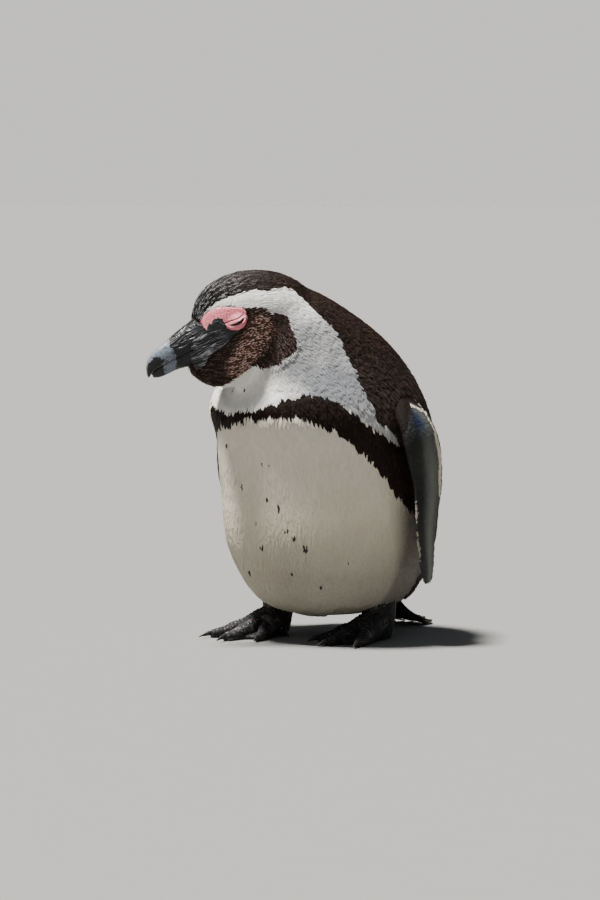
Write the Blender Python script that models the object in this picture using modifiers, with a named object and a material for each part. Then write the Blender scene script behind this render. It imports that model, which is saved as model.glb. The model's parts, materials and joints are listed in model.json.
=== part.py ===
"""An African penguin at life size, standing hunched with its head bowed and turned to its right.

The bird faces -Y, its left side is +X and it stands on the plane z = 0. Metres throughout.
"""

import math

import bmesh
import bpy
import numpy as np
from mathutils import Matrix, Vector
from mathutils.bvhtree import BVHTree

OBJECT_NAME = "african_penguin"

# Where the trunk's upright axis stands from the middle of the bird's footprint.
AXIS_PLACE = (-0.00075, 0.00467, 0.0)

# Gap between two pieces that meet.
GAP = 0.0003

# Fineness of the fused body, and how many triangles it keeps.
BODY_VOXEL = 0.0040
BODY_SMOOTHING = 9
BODY_TRIANGLES = 4700

# The trunk from under the belly up to the neck. Each station is
# (sideways, forward, height, lean, turn, half width, depth in front, depth behind):
# the centre of a ring, the lean and turn of its plane in degrees, and its reach.
TRUNK_STATIONS = (
    (0.000, -0.006, 0.019, 0, 0, 0.030, 0.034, 0.042),
    (0.000, -0.004, 0.030, 0, 0, 0.058, 0.060, 0.071),
    (0.000, -0.002, 0.052, 0, 0, 0.076, 0.076, 0.086),
    (0.000, 0.000, 0.085, 0, 0, 0.089, 0.086, 0.093),
    (0.000, 0.000, 0.125, 0, 0, 0.093, 0.090, 0.091),
    (0.000, 0.004, 0.165, 2, 0, 0.093, 0.092, 0.089),
    (0.000, 0.012, 0.198, 8, 2, 0.089, 0.091, 0.083),
    (-0.002, 0.026, 0.226, 20, 6, 0.078, 0.083, 0.072),
    (-0.007, 0.045, 0.248, 38, 16, 0.062, 0.071, 0.056),
    (-0.014, 0.062, 0.262, 60, 28, 0.048, 0.060, 0.045),
    (-0.020, 0.074, 0.268, 78, 34, 0.036, 0.044, 0.034),
)
TRUNK_FULLNESS = 0.96
# The rump tapers back and down from the trunk to the tail, in stations of the same kind.
RUMP_STATIONS = (
    (0.000, -0.008, 0.112, -118, 0, 0.070, 0.052, 0.056),
    (0.000, -0.030, 0.086, -122, 0, 0.062, 0.046, 0.047),
    (0.000, -0.052, 0.064, -126, 0, 0.049, 0.037, 0.034),
    (0.000, -0.071, 0.046, -128, 0, 0.034, 0.024, 0.021),
    (0.000, -0.084, 0.034, -128, 0, 0.022, 0.014, 0.012),
    (0.000, -0.093, 0.026, -126, 0, 0.012, 0.007, 0.006),
)

# The head's own frame: its centre, how far it is turned to the right and bowed, in degrees.
HEAD_CENTRE = (-0.030, -0.085, 0.270)
HEAD_TURN = 40.0
HEAD_BOW = 27.0
# (along the head, height of the crown, height of the throat, half width)
HEAD_STATIONS = (
    (-0.060, 0.0070, -0.0300, 0.0180),
    (-0.050, 0.0205, -0.0440, 0.0310),
    (-0.034, 0.0325, -0.0470, 0.0375),
    (-0.012, 0.0410, -0.0450, 0.0365),
    (0.010, 0.0415, -0.0440, 0.0335),
    (0.024, 0.0365, -0.0445, 0.0290),
    (0.034, 0.0268, -0.0440, 0.0234),
    (0.043, 0.0150, -0.0405, 0.0190),
    (0.052, 0.0035, -0.0330, 0.0135),
    (0.059, -0.0065, -0.0200, 0.0064),
)
# The cheeks are widest this far above the middle between crown and throat.
CHEEK_RAISE = 0.004
# More than half the head's width, for lines and cuts that start beside it.
SIDE_REACH = 0.06

# Cuts: the head leaves the neck on a plane from nape to throat, the neck the trunk on another.
THROAT_AT = (0.033, -0.045)
HEAD_CUT_FACING = (0.667, 0.743)
NECK_CUT_AT = (0.0, -0.010, 0.205)
NECK_CUT_FACING = (-0.05, -0.22, 0.97)

# Bill: (along the head, height of its top or bottom, height of its cutting edge, half width)
UPPER_BILL_STATIONS = (
    (0.0220, 0.0235, 0.0004, 0.0160),
    (0.0360, 0.0215, 0.0004, 0.0140),
    (0.0520, 0.0183, 0.0003, 0.0110),
    (0.0650, 0.0159, 0.0002, 0.0092),
    (0.0760, 0.0140, 0.0002, 0.0078),
    (0.0840, 0.0105, -0.0004, 0.0063),
    (0.0890, 0.0050, -0.0024, 0.0045),
    (0.0915, -0.0008, -0.0046, 0.0022),
)
LOWER_BILL_STATIONS = (
    (0.0220, -0.0150, 0.0004, 0.0140),
    (0.0400, -0.0145, 0.0004, 0.0122),
    (0.0570, -0.0116, 0.0003, 0.0098),
    (0.0680, -0.0094, 0.0002, 0.0084),
    (0.0780, -0.0090, -0.0002, 0.0068),
    (0.0840, -0.0080, -0.0010, 0.0052),
    (0.0875, -0.0064, -0.0026, 0.0030),
)
BILL_FULLNESS = 0.8
# Nostril slits: place along and above the head's centre, half length, half height and depth.
NOSTRIL_AT = (0.0560, 0.0078)
NOSTRIL_SIZE = (0.0052, 0.0026, 0.0011)
# The line of the mouth runs on into the cheek: its corner, front end, height, half height and depth.
MOUTH_CORNER = 0.0150
MOUTH_FRONT = 0.0600
MOUTH_HEIGHT = 0.0002
MOUTH_HALF_HEIGHT = 0.0006
MOUTH_DEPTH = 0.0016

# Eyes: place along and above the head's centre, the ball, how deep its centre lies,
# the lids, and where the slit between them lies on the ball, in degrees.
EYE_AT = (0.0084, 0.0059)
EYE_RADIUS = 0.0066
EYE_SINK = 0.0064
LID_THICKNESS = 0.0013
LID_EDGE_UPPER = -14.0
LID_EDGE_LOWER = -34.0
LID_SLANT = 4.0
LID_FRONT = 0.0006

# Flippers: (share of the length, half thickness, reach to the front edge, reach to the rear edge)
FLIPPER_STATIONS = (
    (0.00, 0.0060, 0.0110, 0.0110),
    (0.10, 0.0080, 0.0185, 0.0180),
    (0.24, 0.0072, 0.0225, 0.0225),
    (0.42, 0.0058, 0.0205, 0.0230),
    (0.62, 0.0048, 0.0165, 0.0190),
    (0.80, 0.0040, 0.0125, 0.0150),
    (0.93, 0.0032, 0.0085, 0.0100),
    (1.00, 0.0014, 0.0030, 0.0035),
)
# The middle line of each blade: shoulder, upper arm, elbow, wrist, tip.
LEFT_FLIPPER_PATH = (
    (0.076, -0.006, 0.214),
    (0.0985, -0.014, 0.178),
    (0.1030, -0.0075, 0.137),
    (0.1030, -0.0090, 0.096),
    (0.1035, -0.0045, 0.054),
)
RIGHT_FLIPPER_PATH = (
    (-0.076, -0.006, 0.214),
    (-0.0960, -0.004, 0.182),
    (-0.1025, -0.002, 0.148),
    (-0.1025, 0.012, 0.100),
    (-0.1000, 0.030, 0.056),
)
FLIPPER_TUCK = (2.0, 9.0)

# Thighs: the feathered bulges that the feet come out of.
THIGH_CENTRE = (0.048, -0.004, 0.044)
THIGH_REACH = (0.036, 0.050, 0.033)

# Feet: the ankles, which way each foot points in degrees to the bird's left, and the toes as
# (spread outwards in degrees, share of the length, half thickness).
LEFT_ANKLE = (0.047, 0.008)
RIGHT_ANKLE = (-0.045, -0.012)
LEFT_HEADING = -9.0
RIGHT_HEADING = -5.0
FOOT_LENGTH = 0.067
TOES = ((-23.0, 0.84, 0.0070), (1.0, 1.00, 0.0078), (25.0, 0.93, 0.0070))
TOE_KNUCKLES = 3
INSTEP_HEIGHT = 0.022
TOE_TIP_HEIGHT = 0.0074
SHANK_RADIUS = 0.0125
SHANK_TOP = 0.034
WEB_THICKNESS = 0.0030
WEB_SHARE = 0.80
SOLE_SINK = 0.0010
# The small inner toe: its length, half thickness and height, and its spread inwards in degrees.
SMALL_TOE_LENGTH = 0.016
SMALL_TOE_THICKNESS = 0.0042
SMALL_TOE_INSTEP = 0.004
SMALL_TOE_SPREAD = -58.0
CLAW_LENGTH = 0.0125
CLAW_RADIUS = 0.0024
CLAW_POINT = 0.0002
CLAW_HEIGHT = 0.0042
CLAW_CLEARANCE = 0.0009

# Tail: stiff feathers in two tiers that fan out from under the rump and rest on the floor.
TAIL_ROOT = (0.0, 0.074, 0.030)
TAIL_LENGTH = 0.063
TAIL_FAN = 15.0
TAIL_TIERS = ((7, 0.0000, 1.00), (6, 0.0042, 0.88))
VANE_WIDTH = 0.0118
VANE_THICKNESS = 0.0014
VANE_TIP_THICKNESS = 0.0010
VANE_STAGGER = 0.0020
VANE_RIB = 0.0005
VANE_STEPS = 4
# The fleshy root of the tail: its place from the feathers' root, its reach and its slope in degrees.
TAIL_CORE_AT = (0.0, 0.010, -0.005)
TAIL_CORE = (0.017, 0.020, 0.0085)
TAIL_CORE_SLOPE = -38.0


def clear_scene():
    for old in list(bpy.data.objects):
        bpy.data.objects.remove(old)


def material(name, colour, roughness, coat=0.0):
    made = bpy.data.materials.new(name)
    made.use_nodes = True
    shader = made.node_tree.nodes["Principled BSDF"]
    shader.inputs["Base Color"].default_value = (*colour, 1.0)
    shader.inputs["Roughness"].default_value = roughness
    shader.inputs["Metallic"].default_value = 0.0
    shader.inputs["Coat Weight"].default_value = coat
    made.diffuse_color = (*colour, 1.0)
    return made


def new_object(name, mesh, into):
    obj = bpy.data.objects.new(name, mesh)
    into.objects.link(obj)
    return obj


def move_to(obj, collection):
    for home in list(obj.users_collection):
        home.objects.unlink(obj)
    collection.objects.link(obj)


def remove(*objects):
    for obj in objects:
        bpy.data.objects.remove(obj)


def smooth_curve(stations, count):
    """Rows read evenly from a smooth curve through the stations."""
    rows = np.array(stations, float)
    padded = np.vstack([2 * rows[0] - rows[1], rows, 2 * rows[-1] - rows[-2]])
    read = []
    for place in np.linspace(0, len(rows) - 1, count):
        piece = min(int(place), len(rows) - 2)
        t = place - piece
        before, start, end, after = padded[piece : piece + 4]
        line = 2 * start + (end - before) * t
        bend = (2 * before - 5 * start + 4 * end - after) * t**2
        twist = (3 * start - before - 3 * end + after) * t**3
        read.append((line + bend + twist) / 2)
    return np.array(read)


def loft_mesh(name, rings):
    """A closed mesh through rings of equal length, with a fan over each end."""
    mesh = bmesh.new()
    rows = [[mesh.verts.new(point) for point in ring] for ring in rings]
    around = len(rows[0])
    for low, high in zip(rows, rows[1:]):
        for k in range(around):
            after = (k + 1) % around
            mesh.faces.new((low[k], low[after], high[after], high[k]))
    for row in (rows[0], rows[-1]):
        middle = mesh.verts.new(sum((v.co for v in row), Vector()) / around)
        for k in range(around):
            mesh.faces.new((row[k], row[(k + 1) % around], middle))
    bmesh.ops.recalc_face_normals(mesh, faces=mesh.faces)
    made = bpy.data.meshes.new(name)
    mesh.to_mesh(made)
    mesh.free()
    return made


def applied(obj):
    """Replaces the object's mesh by what its modifiers make of it."""
    bpy.context.view_layer.update()
    graph = bpy.context.evaluated_depsgraph_get()
    mesh = bpy.data.meshes.new_from_object(obj.evaluated_get(graph))
    obj.modifiers.clear()
    obj.data = mesh
    return obj


def reach(group):
    points = np.array([vert.co for vert in group])
    return float(np.prod(np.ptp(points, axis=0) + 1e-6))


def keep_largest(obj):
    """Keeps only the largest closed surface of the mesh."""
    mesh = bmesh.new()
    mesh.from_mesh(obj.data)
    bmesh.ops.remove_doubles(mesh, verts=mesh.verts, dist=1e-6)
    left = set(mesh.verts)
    groups = []
    while left:
        seed = left.pop()
        group = {seed}
        front = [seed]
        while front:
            vert = front.pop()
            for edge in vert.link_edges:
                other = edge.other_vert(vert)
                if other not in group:
                    group.add(other)
                    front.append(other)
        left -= group
        groups.append(group)
    groups.sort(key=reach, reverse=True)
    for group in groups[1:]:
        bmesh.ops.delete(mesh, geom=list(group), context="VERTS")
    bmesh.ops.recalc_face_normals(mesh, faces=mesh.faces)
    mesh.to_mesh(obj.data)
    mesh.free()
    return obj


def boolean(obj, other, operation):
    cut = obj.modifiers.new(operation.lower(), "BOOLEAN")
    cut.operation = operation
    cut.solver = "MANIFOLD"
    cut.object = other
    return applied(obj)


def union(obj, pieces):
    """Fuses closed pieces into the object with one Boolean and removes them."""
    group = bpy.data.collections.new(obj.name + "_pieces")
    bpy.context.scene.collection.children.link(group)
    for piece in pieces:
        move_to(piece, group)
    join = obj.modifiers.new("union", "BOOLEAN")
    join.operation = "UNION"
    join.solver = "EXACT"
    join.operand_type = "COLLECTION"
    join.collection = group
    applied(obj)
    remove(*group.objects)
    bpy.data.collections.remove(group)
    return keep_largest(obj)


def grown(obj, by):
    """A copy of the object with its surface moved out by this much."""
    mesh = obj.data.copy()
    fat = bmesh.new()
    fat.from_mesh(mesh)
    fat.normal_update()
    moved = [vert.co + vert.normal * by * vert.calc_shell_factor() for vert in fat.verts]
    for vert, place in zip(fat.verts, moved):
        vert.co = place
    fat.to_mesh(mesh)
    fat.free()
    return new_object(obj.name + "_grown", mesh, CUTTERS)


def copy_of(obj, name, into):
    return new_object(name, obj.data.copy(), into)


def half_space(name, point, facing, size=1.0):
    """A big box whose one face passes through the point, and which fills the side that facing points to."""
    box = bmesh.new()
    bmesh.ops.create_cube(box, size=size)
    made = bpy.data.meshes.new(name)
    box.to_mesh(made)
    box.free()
    facing = Vector(facing).normalized()
    turn = Vector((0, 0, 1)).rotation_difference(facing).to_matrix().to_4x4()
    made.transform(Matrix.Translation(Vector(point) + facing * size / 2) @ turn)
    return new_object(name, made, CUTTERS)


def ellipsoid(name, centre, radii, turn, into, segments=16, rings=10):
    """A ball stretched to three radii, turned by a matrix and set at its centre."""
    ball = bmesh.new()
    bmesh.ops.create_uvsphere(ball, u_segments=segments, v_segments=rings, radius=1.0)
    made = bpy.data.meshes.new(name)
    ball.to_mesh(made)
    ball.free()
    made.transform(Matrix.Translation(Vector(centre)) @ turn @ Matrix.Diagonal((*radii, 1)))
    return new_object(name, made, into)


def split_by_plane(body, name, point, facing):
    """Cuts off what lies on the facing side as a new object, and leaves the gap."""
    facing = Vector(facing).normalized()
    piece = copy_of(body, name, PARTS)
    keep = half_space("keep", Vector(point) + facing * GAP / 2, facing)
    drop = half_space("drop", Vector(point) - facing * GAP / 2, facing)
    boolean(piece, keep, "INTERSECT")
    boolean(body, drop, "DIFFERENCE")
    remove(keep, drop)
    keep_largest(piece)
    keep_largest(body)
    return piece


def carve(body, tool, gap=GAP):
    """Cuts the tool's shape and the gap round it out of the body."""
    fat = grown(tool, gap)
    boolean(body, fat, "DIFFERENCE")
    remove(fat)
    return keep_largest(body)


def head_axes():
    turn = math.radians(HEAD_TURN)
    bow = math.radians(HEAD_BOW)
    level = Vector((-math.sin(turn), -math.cos(turn), 0))
    ahead = level * math.cos(bow) + Vector((0, 0, -math.sin(bow)))
    left = Vector((math.cos(turn), -math.sin(turn), 0))
    return ahead, left, ahead.cross(left)


def head_point(along, sideways, up):
    ahead, left, above = head_axes()
    return Vector(HEAD_CENTRE) + ahead * along + left * sideways + above * up


def head_turn():
    """Turns (along, sideways, up) of the head into the bird's own directions."""
    return Matrix(head_axes()).transposed().to_4x4()


def fullness(value, power):
    return math.copysign(abs(value) ** power, value)


def trunk_ring(row, around):
    sideways, forward, height, lean, turn, width, front, behind = row
    lean = math.radians(lean)
    turn = math.radians(turn)
    level = Vector((-math.sin(turn), -math.cos(turn), 0))
    across = Vector((math.cos(turn), -math.sin(turn), 0))
    ahead = level * math.cos(lean) + Vector((0, 0, -math.sin(lean)))
    centre = Vector((sideways, -forward, height))
    ring = []
    for k in range(around):
        angle = 2 * math.pi * k / around
        out = fullness(math.sin(angle), TRUNK_FULLNESS)
        side = fullness(math.cos(angle), TRUNK_FULLNESS)
        depth = front if out > 0 else behind
        ring.append(centre + across * width * side + ahead * depth * out)
    return ring


def head_ring(row, around):
    along, crown, throat, width = row
    middle = (crown + throat) / 2 + CHEEK_RAISE
    ring = []
    for k in range(around):
        angle = 2 * math.pi * k / around
        up = math.sin(angle)
        height = middle + up * (crown - middle if up > 0 else middle - throat)
        ring.append(head_point(along, width * math.cos(angle), height))
    return ring


def fused_body():
    """Trunk, rump, neck and head as one smooth closed surface."""
    trunk = loft_mesh("trunk", [trunk_ring(row, 40) for row in smooth_curve(TRUNK_STATIONS, 44)])
    skull = loft_mesh("skull", [head_ring(row, 36) for row in smooth_curve(HEAD_STATIONS, 36)])
    rump = loft_mesh("rump", [trunk_ring(row, 32) for row in smooth_curve(RUMP_STATIONS, 20)])
    body = new_object("torso", trunk, CUTTERS)
    union(body, [new_object("skull", skull, CUTTERS), new_object("rump", rump, CUTTERS)])
    remesh = body.modifiers.new("even", "REMESH")
    remesh.mode = "VOXEL"
    remesh.voxel_size = BODY_VOXEL
    ease = body.modifiers.new("ease", "SMOOTH")
    ease.factor = 0.5
    ease.iterations = BODY_SMOOTHING
    applied(body)
    thin = body.modifiers.new("thin", "DECIMATE")
    thin.ratio = BODY_TRIANGLES / sum(len(face.vertices) - 2 for face in body.data.polygons)
    applied(body)
    return keep_largest(body)


def bill_ring(row, around):
    """A half oval above or below the cutting edge."""
    along, tip, edge, width = row
    ring = []
    for k in range(around):
        angle = math.pi * k / (around - 1)
        out = fullness(math.sin(angle), BILL_FULLNESS)
        side = fullness(math.cos(angle), BILL_FULLNESS)
        ring.append(head_point(along, width * side, edge + (tip - edge) * out))
    return ring


def bill_half(name, stations, head_cut, split):
    rows = smooth_curve(stations, 18)
    rows[:, 2] += split
    half = new_object(name, loft_mesh(name, [bill_ring(row, 15) for row in rows]), PARTS)
    boolean(half, head_cut, "DIFFERENCE")
    return keep_largest(half)


def cut_nostrils(bill, tree):
    for side in (1, -1):
        place = side_of(tree, *NOSTRIL_AT, side)
        slit = ellipsoid("nostril", place, NOSTRIL_SIZE, head_turn(), CUTTERS, 14, 8)
        boolean(bill, slit, "DIFFERENCE")
        remove(slit)
    return keep_largest(bill)


def tree_of(obj):
    mesh = bmesh.new()
    mesh.from_mesh(obj.data)
    tree = BVHTree.FromBMesh(mesh)
    mesh.free()
    return tree


def side_of(tree, along, up, side):
    """Where a line from the side of the head meets the surface."""
    left = head_axes()[1]
    return tree.ray_cast(head_point(along, side * 2 * SIDE_REACH, up), left * -side)[0]


def cut_mouth_line(head):
    """The line of the mouth goes on behind the bill as a narrow fold in each cheek."""
    core = grown(head, -MOUTH_DEPTH)
    box = bmesh.new()
    bmesh.ops.create_cube(box, size=1.0)
    made = bpy.data.meshes.new("mouth_line")
    box.to_mesh(made)
    box.free()
    middle = head_point((MOUTH_FRONT + MOUTH_CORNER) / 2, 0, MOUTH_HEIGHT)
    size = Matrix.Diagonal((MOUTH_FRONT - MOUTH_CORNER, 4 * SIDE_REACH, 2 * MOUTH_HALF_HEIGHT, 1))
    made.transform(Matrix.Translation(middle) @ head_turn() @ size)
    slab = new_object("mouth_line", made, CUTTERS)
    boolean(slab, core, "DIFFERENCE")
    boolean(head, slab, "DIFFERENCE")
    remove(core, slab)
    return keep_largest(head)


def eye_and_lids(head, tree, side, word):
    """A ball in a socket of the head, under an upper and a lower lid that leave a narrow slit."""
    outward = head_axes()[1] * side
    centre = side_of(tree, *EYE_AT, side) - outward * EYE_SINK
    turn = head_turn()
    ellipsoid("eye_" + word, centre, (EYE_RADIUS,) * 3, turn, PARTS)
    lid_inside = EYE_RADIUS + GAP
    lid_outside = lid_inside + LID_THICKNESS
    socket = ellipsoid("socket", centre, (lid_outside + GAP,) * 3, turn, CUTTERS, 20, 12)
    boolean(head, socket, "DIFFERENCE")
    remove(socket)
    keep_largest(head)
    slant = math.radians(LID_SLANT)
    above = turn.to_3x3() @ Vector((-math.sin(slant), 0, math.cos(slant)))
    for name, degrees, keeps in (("upper", LID_EDGE_UPPER, 1), ("lower", LID_EDGE_LOWER, -1)):
        lid = ellipsoid(f"lid_{name}_{word}", centre, (lid_outside,) * 3, turn, PARTS, 20, 12)
        hollow = ellipsoid("hollow", centre, (lid_inside,) * 3, turn, CUTTERS, 20, 12)
        edge = math.radians(degrees)
        over = (above * math.cos(edge) - outward * math.sin(edge)) * keeps
        keep = half_space("keep", centre, over)
        front = half_space("front", centre + outward * LID_FRONT, outward)
        boolean(lid, hollow, "DIFFERENCE")
        boolean(lid, front, "INTERSECT")
        boolean(lid, keep, "INTERSECT")
        remove(hollow, keep, front)
        keep_largest(lid)


def flipper(name, side, path, body_cut):
    """A blade hung from the shoulder: thick in front, thin behind, bent at the elbow and the wrist."""
    line = smooth_curve(path, 19)
    steps = np.linalg.norm(np.diff(line, axis=0), axis=1)
    shares = np.concatenate([[0], np.cumsum(steps)]) / steps.sum()
    table = np.array(FLIPPER_STATIONS)
    fine = smooth_curve(table, 60)
    rings = []
    for k, share in enumerate(shares):
        thick, front, behind = (np.interp(share, fine[:, 0], fine[:, column]) for column in (1, 2, 3))
        ahead = Vector(line[min(k + 1, len(line) - 1)] - line[max(k - 1, 0)]).normalized()
        tuck = math.radians(FLIPPER_TUCK[0] + (FLIPPER_TUCK[1] - FLIPPER_TUCK[0]) * share)
        rear = Vector((-side * math.sin(tuck), math.cos(tuck), 0))
        rear = (rear - ahead * rear.dot(ahead)).normalized()
        out = rear.cross(ahead)
        out *= side * math.copysign(1, out.x)
        ring = []
        for j in range(16):
            angle = 2 * math.pi * j / 16
            run = math.cos(angle)
            chord = run * (front if run > 0 else behind)
            deep = thick * (0.60 + 0.40 * run)
            ring.append(Vector(line[k]) - rear * chord + out * deep * math.sin(angle))
        rings.append(ring)
    blade = new_object(name, loft_mesh(name, rings), PARTS)
    boolean(blade, body_cut, "DIFFERENCE")
    return keep_largest(blade)


def toe_ring(centre, across, width, height, around=10):
    """An oval that stands on the sole's level, a little under it, so that the sole can be cut flat."""
    ring = []
    for k in range(around):
        angle = 2 * math.pi * k / around
        up = (height + SOLE_SINK) / 2 * (1 + math.sin(angle)) - SOLE_SINK
        ring.append(centre + across * width * math.cos(angle) + Vector((0, 0, up)))
    return ring


def toe_mesh(name, heel, way, length, thick, instep):
    across = Vector((-way.y, way.x, 0))
    rings = []
    for t in np.linspace(0, 1, 11):
        knuckle = 1 + 0.07 * math.cos(2 * math.pi * TOE_KNUCKLES * t)
        width = thick * (1.15 - 0.55 * t) * knuckle
        height = instep * (1 - t) ** 1.4 + TOE_TIP_HEIGHT * (1 + 0.35 * (1 - t)) * knuckle
        if t == 1:
            width *= 0.8
            height *= 0.9
        rings.append(toe_ring(heel + way * length * t, across, width, height))
    return loft_mesh(name, rings)


def claw(name, base, way):
    """A short curved cone that starts a gap ahead of the toe and ends just above the floor."""
    across = Vector((-way.y, way.x, 0))
    rings = []
    for t in np.linspace(0, 1, 6):
        radius = CLAW_RADIUS * (1 - t) ** 0.75 + CLAW_POINT
        ahead = CLAW_LENGTH * (t - 0.10 * t * t) + GAP
        low = CLAW_HEIGHT - (CLAW_HEIGHT - CLAW_CLEARANCE - 2 * CLAW_POINT) * t**1.6
        centre = base + way * ahead + Vector((0, 0, max(low, CLAW_CLEARANCE + radius)))
        ring = []
        for k in range(8):
            angle = 2 * math.pi * k / 8
            side = across * radius * 0.8 * math.cos(angle)
            ring.append(centre + side + Vector((0, 0, radius * math.sin(angle))))
        rings.append(ring)
    return new_object(name, loft_mesh(name, rings), PARTS)


def web_mesh(name, heel, ways, lengths):
    """A skin between the toes whose front edge curves in between them."""
    rim = [heel]
    for k, (way, length) in enumerate(zip(ways, lengths)):
        rim.append(heel + way * length * (WEB_SHARE + 0.06))
        if k + 1 < len(ways):
            between = (way + ways[k + 1]).normalized()
            rim.append(heel + between * (length + lengths[k + 1]) / 2 * (WEB_SHARE - 0.06))
    web = bmesh.new()
    low = [web.verts.new((p.x, p.y, -SOLE_SINK / 2)) for p in rim]
    high = [web.verts.new((p.x, p.y, INSTEP_HEIGHT * 0.6 if p is heel else WEB_THICKNESS)) for p in rim]
    count = len(rim)
    for k in range(1, count - 1):
        web.faces.new((low[0], low[k + 1], low[k]))
        web.faces.new((high[0], high[k], high[k + 1]))
    for k in range(count):
        after = (k + 1) % count
        web.faces.new((low[k], low[after], high[after], high[k]))
    bmesh.ops.recalc_face_normals(web, faces=web.faces)
    made = bpy.data.meshes.new(name)
    web.to_mesh(made)
    web.free()
    return made


def foot(word, side, ankle, heading):
    """A webbed foot: three toes ahead, a small one inside, the shank, and a claw for each toe."""
    name = "foot_" + word
    heading = math.radians(heading)
    ahead = Vector((math.sin(heading), -math.cos(heading), 0))
    across = Vector((math.cos(heading), math.sin(heading), 0))
    heel = Vector((*ankle, 0))
    ways = []
    pieces = []
    for number, (spread, share, thick) in enumerate(TOES, 1):
        turn = math.radians(spread) * side
        way = ahead * math.cos(turn) + across * math.sin(turn)
        ways.append(way)
        mesh = toe_mesh("toe", heel, way, FOOT_LENGTH * share, thick, INSTEP_HEIGHT)
        pieces.append(new_object("toe", mesh, PARTS))
        claw(f"claw_{word}_{number}", heel + way * FOOT_LENGTH * share, way)
    turn = math.radians(SMALL_TOE_SPREAD) * side
    inward = ahead * math.cos(turn) + across * math.sin(turn)
    small = heel + inward * SMALL_TOE_INSTEP
    small_toe = toe_mesh(
        "small_toe", small, inward, SMALL_TOE_LENGTH, SMALL_TOE_THICKNESS, SMALL_TOE_INSTEP
    )
    pieces.append(new_object("small_toe", small_toe, PARTS))
    claw(f"claw_{word}_4", small + inward * SMALL_TOE_LENGTH, inward)
    lengths = [FOOT_LENGTH * share for _, share, _ in TOES]
    pieces.append(new_object("web", web_mesh("web", heel, ways, lengths), PARTS))
    shank = []
    for t in np.linspace(0, 1, 5):
        width = SHANK_RADIUS * (0.74 + 0.26 * math.sin(math.pi / 2 * min(1, 1.6 * t)))
        centre = heel + Vector((0, 0.002 * t - 0.001, 0.001 + (SHANK_TOP - 0.001) * t))
        ring = []
        for k in range(14):
            angle = 2 * math.pi * k / 14
            ring.append(centre + across * width * math.cos(angle) + ahead * width * 1.15 * math.sin(angle))
        shank.append(ring)
    base = new_object(name, loft_mesh(name, shank), PARTS)
    union(base, pieces)
    ground = half_space("ground", (0, 0, 0), (0, 0, -1))
    boolean(base, ground, "DIFFERENCE")
    remove(ground)
    return keep_largest(base)


def vane_mesh(name, root, way, length, tip_height, lift, width):
    """One stiff feather: a thin tapering blade with a rib, alike above and below."""
    across = Vector((way.y, -way.x, 0))
    vane = bmesh.new()
    rows = []
    for k in range(VANE_STEPS + 1):
        t = k / VANE_STEPS
        half = width / 2 * (0.75 + 0.25 * math.sin(math.pi * t)) * (1 - 0.55 * t**6)
        thick = VANE_THICKNESS + (VANE_TIP_THICKNESS - VANE_THICKNESS) * t
        drop = root.z * (1 - t) ** 1.7 + tip_height + lift * min(1, 2.5 * t)
        centre = Vector((root.x, root.y, 0)) + way * length * t + Vector((0, 0, drop))
        rib = Vector((0, 0, VANE_RIB * (1 - t)))
        row = []
        for level in (-1, 1):
            over = Vector((0, 0, level * thick / 2))
            row.append([vane.verts.new(centre + over + across * half * side + rib * (side == 0)) for side in (-1, 0, 1)])
        rows.append(row)
    for (low0, high0), (low1, high1) in zip(rows, rows[1:]):
        for j in range(2):
            for near, far, flip in ((low0, low1, True), (high0, high1, False)):
                corners = ((near[j], near[j + 1], far[j + 1]), (near[j], far[j + 1], far[j]))
                for corner in corners:
                    vane.faces.new(corner[::-1] if flip else corner)
        for j in (0, 2):
            vane.faces.new((low0[j], high0[j], high1[j]))
            vane.faces.new((low0[j], high1[j], low1[j]))
    for low, high in (rows[0], rows[-1]):
        for j in range(2):
            vane.faces.new((low[j], low[j + 1], high[j + 1]))
            vane.faces.new((low[j], high[j + 1], high[j]))
    bmesh.ops.recalc_face_normals(vane, faces=vane.faces)
    made = bpy.data.meshes.new(name)
    vane.to_mesh(made)
    vane.free()
    return made


def tail(body_cut):
    """Two tiers of stiff feathers in a fleshy root under the rump, their tips on the floor."""
    root = Vector(TAIL_ROOT)
    slope = Matrix.Rotation(math.radians(TAIL_CORE_SLOPE), 4, "X")
    core = ellipsoid("tail", root + Vector(TAIL_CORE_AT), TAIL_CORE, slope, PARTS, 24, 14)
    vanes = []
    for count, height, share in TAIL_TIERS:
        for k in range(count):
            place = 2 * k / (count - 1) - 1
            turn = math.radians(TAIL_FAN) * place
            way = Vector((math.sin(turn), math.cos(turn), 0))
            start = root + Vector((0.010 * place, 0.004, height * 0.5))
            length = TAIL_LENGTH * share * (1 - 0.16 * place * place)
            lift = VANE_STAGGER * (k % 2)
            tip_height = height + VANE_TIP_THICKNESS / 2 - 0.0002
            mesh = vane_mesh("vane", start, way, length, tip_height, lift, VANE_WIDTH)
            vanes.append(new_object("vane", mesh, PARTS))
    union(core, vanes)
    ground = half_space("ground", (0, 0, 0), (0, 0, -1))
    boolean(core, ground, "DIFFERENCE")
    boolean(core, body_cut, "DIFFERENCE")
    remove(ground)
    return keep_largest(core)


def thigh(body, word, side):
    """The feathered top of the leg, parted from the trunk along a rounded cut."""
    x, y, z = THIGH_CENTRE
    shape = ellipsoid("shape", (x * side, y, z), THIGH_REACH, Matrix.Identity(4), CUTTERS, 20, 12)
    leg = copy_of(body, "leg_" + word, PARTS)
    boolean(leg, shape, "INTERSECT")
    keep_largest(leg)
    carve(body, shape)
    remove(shape)
    return leg


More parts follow.
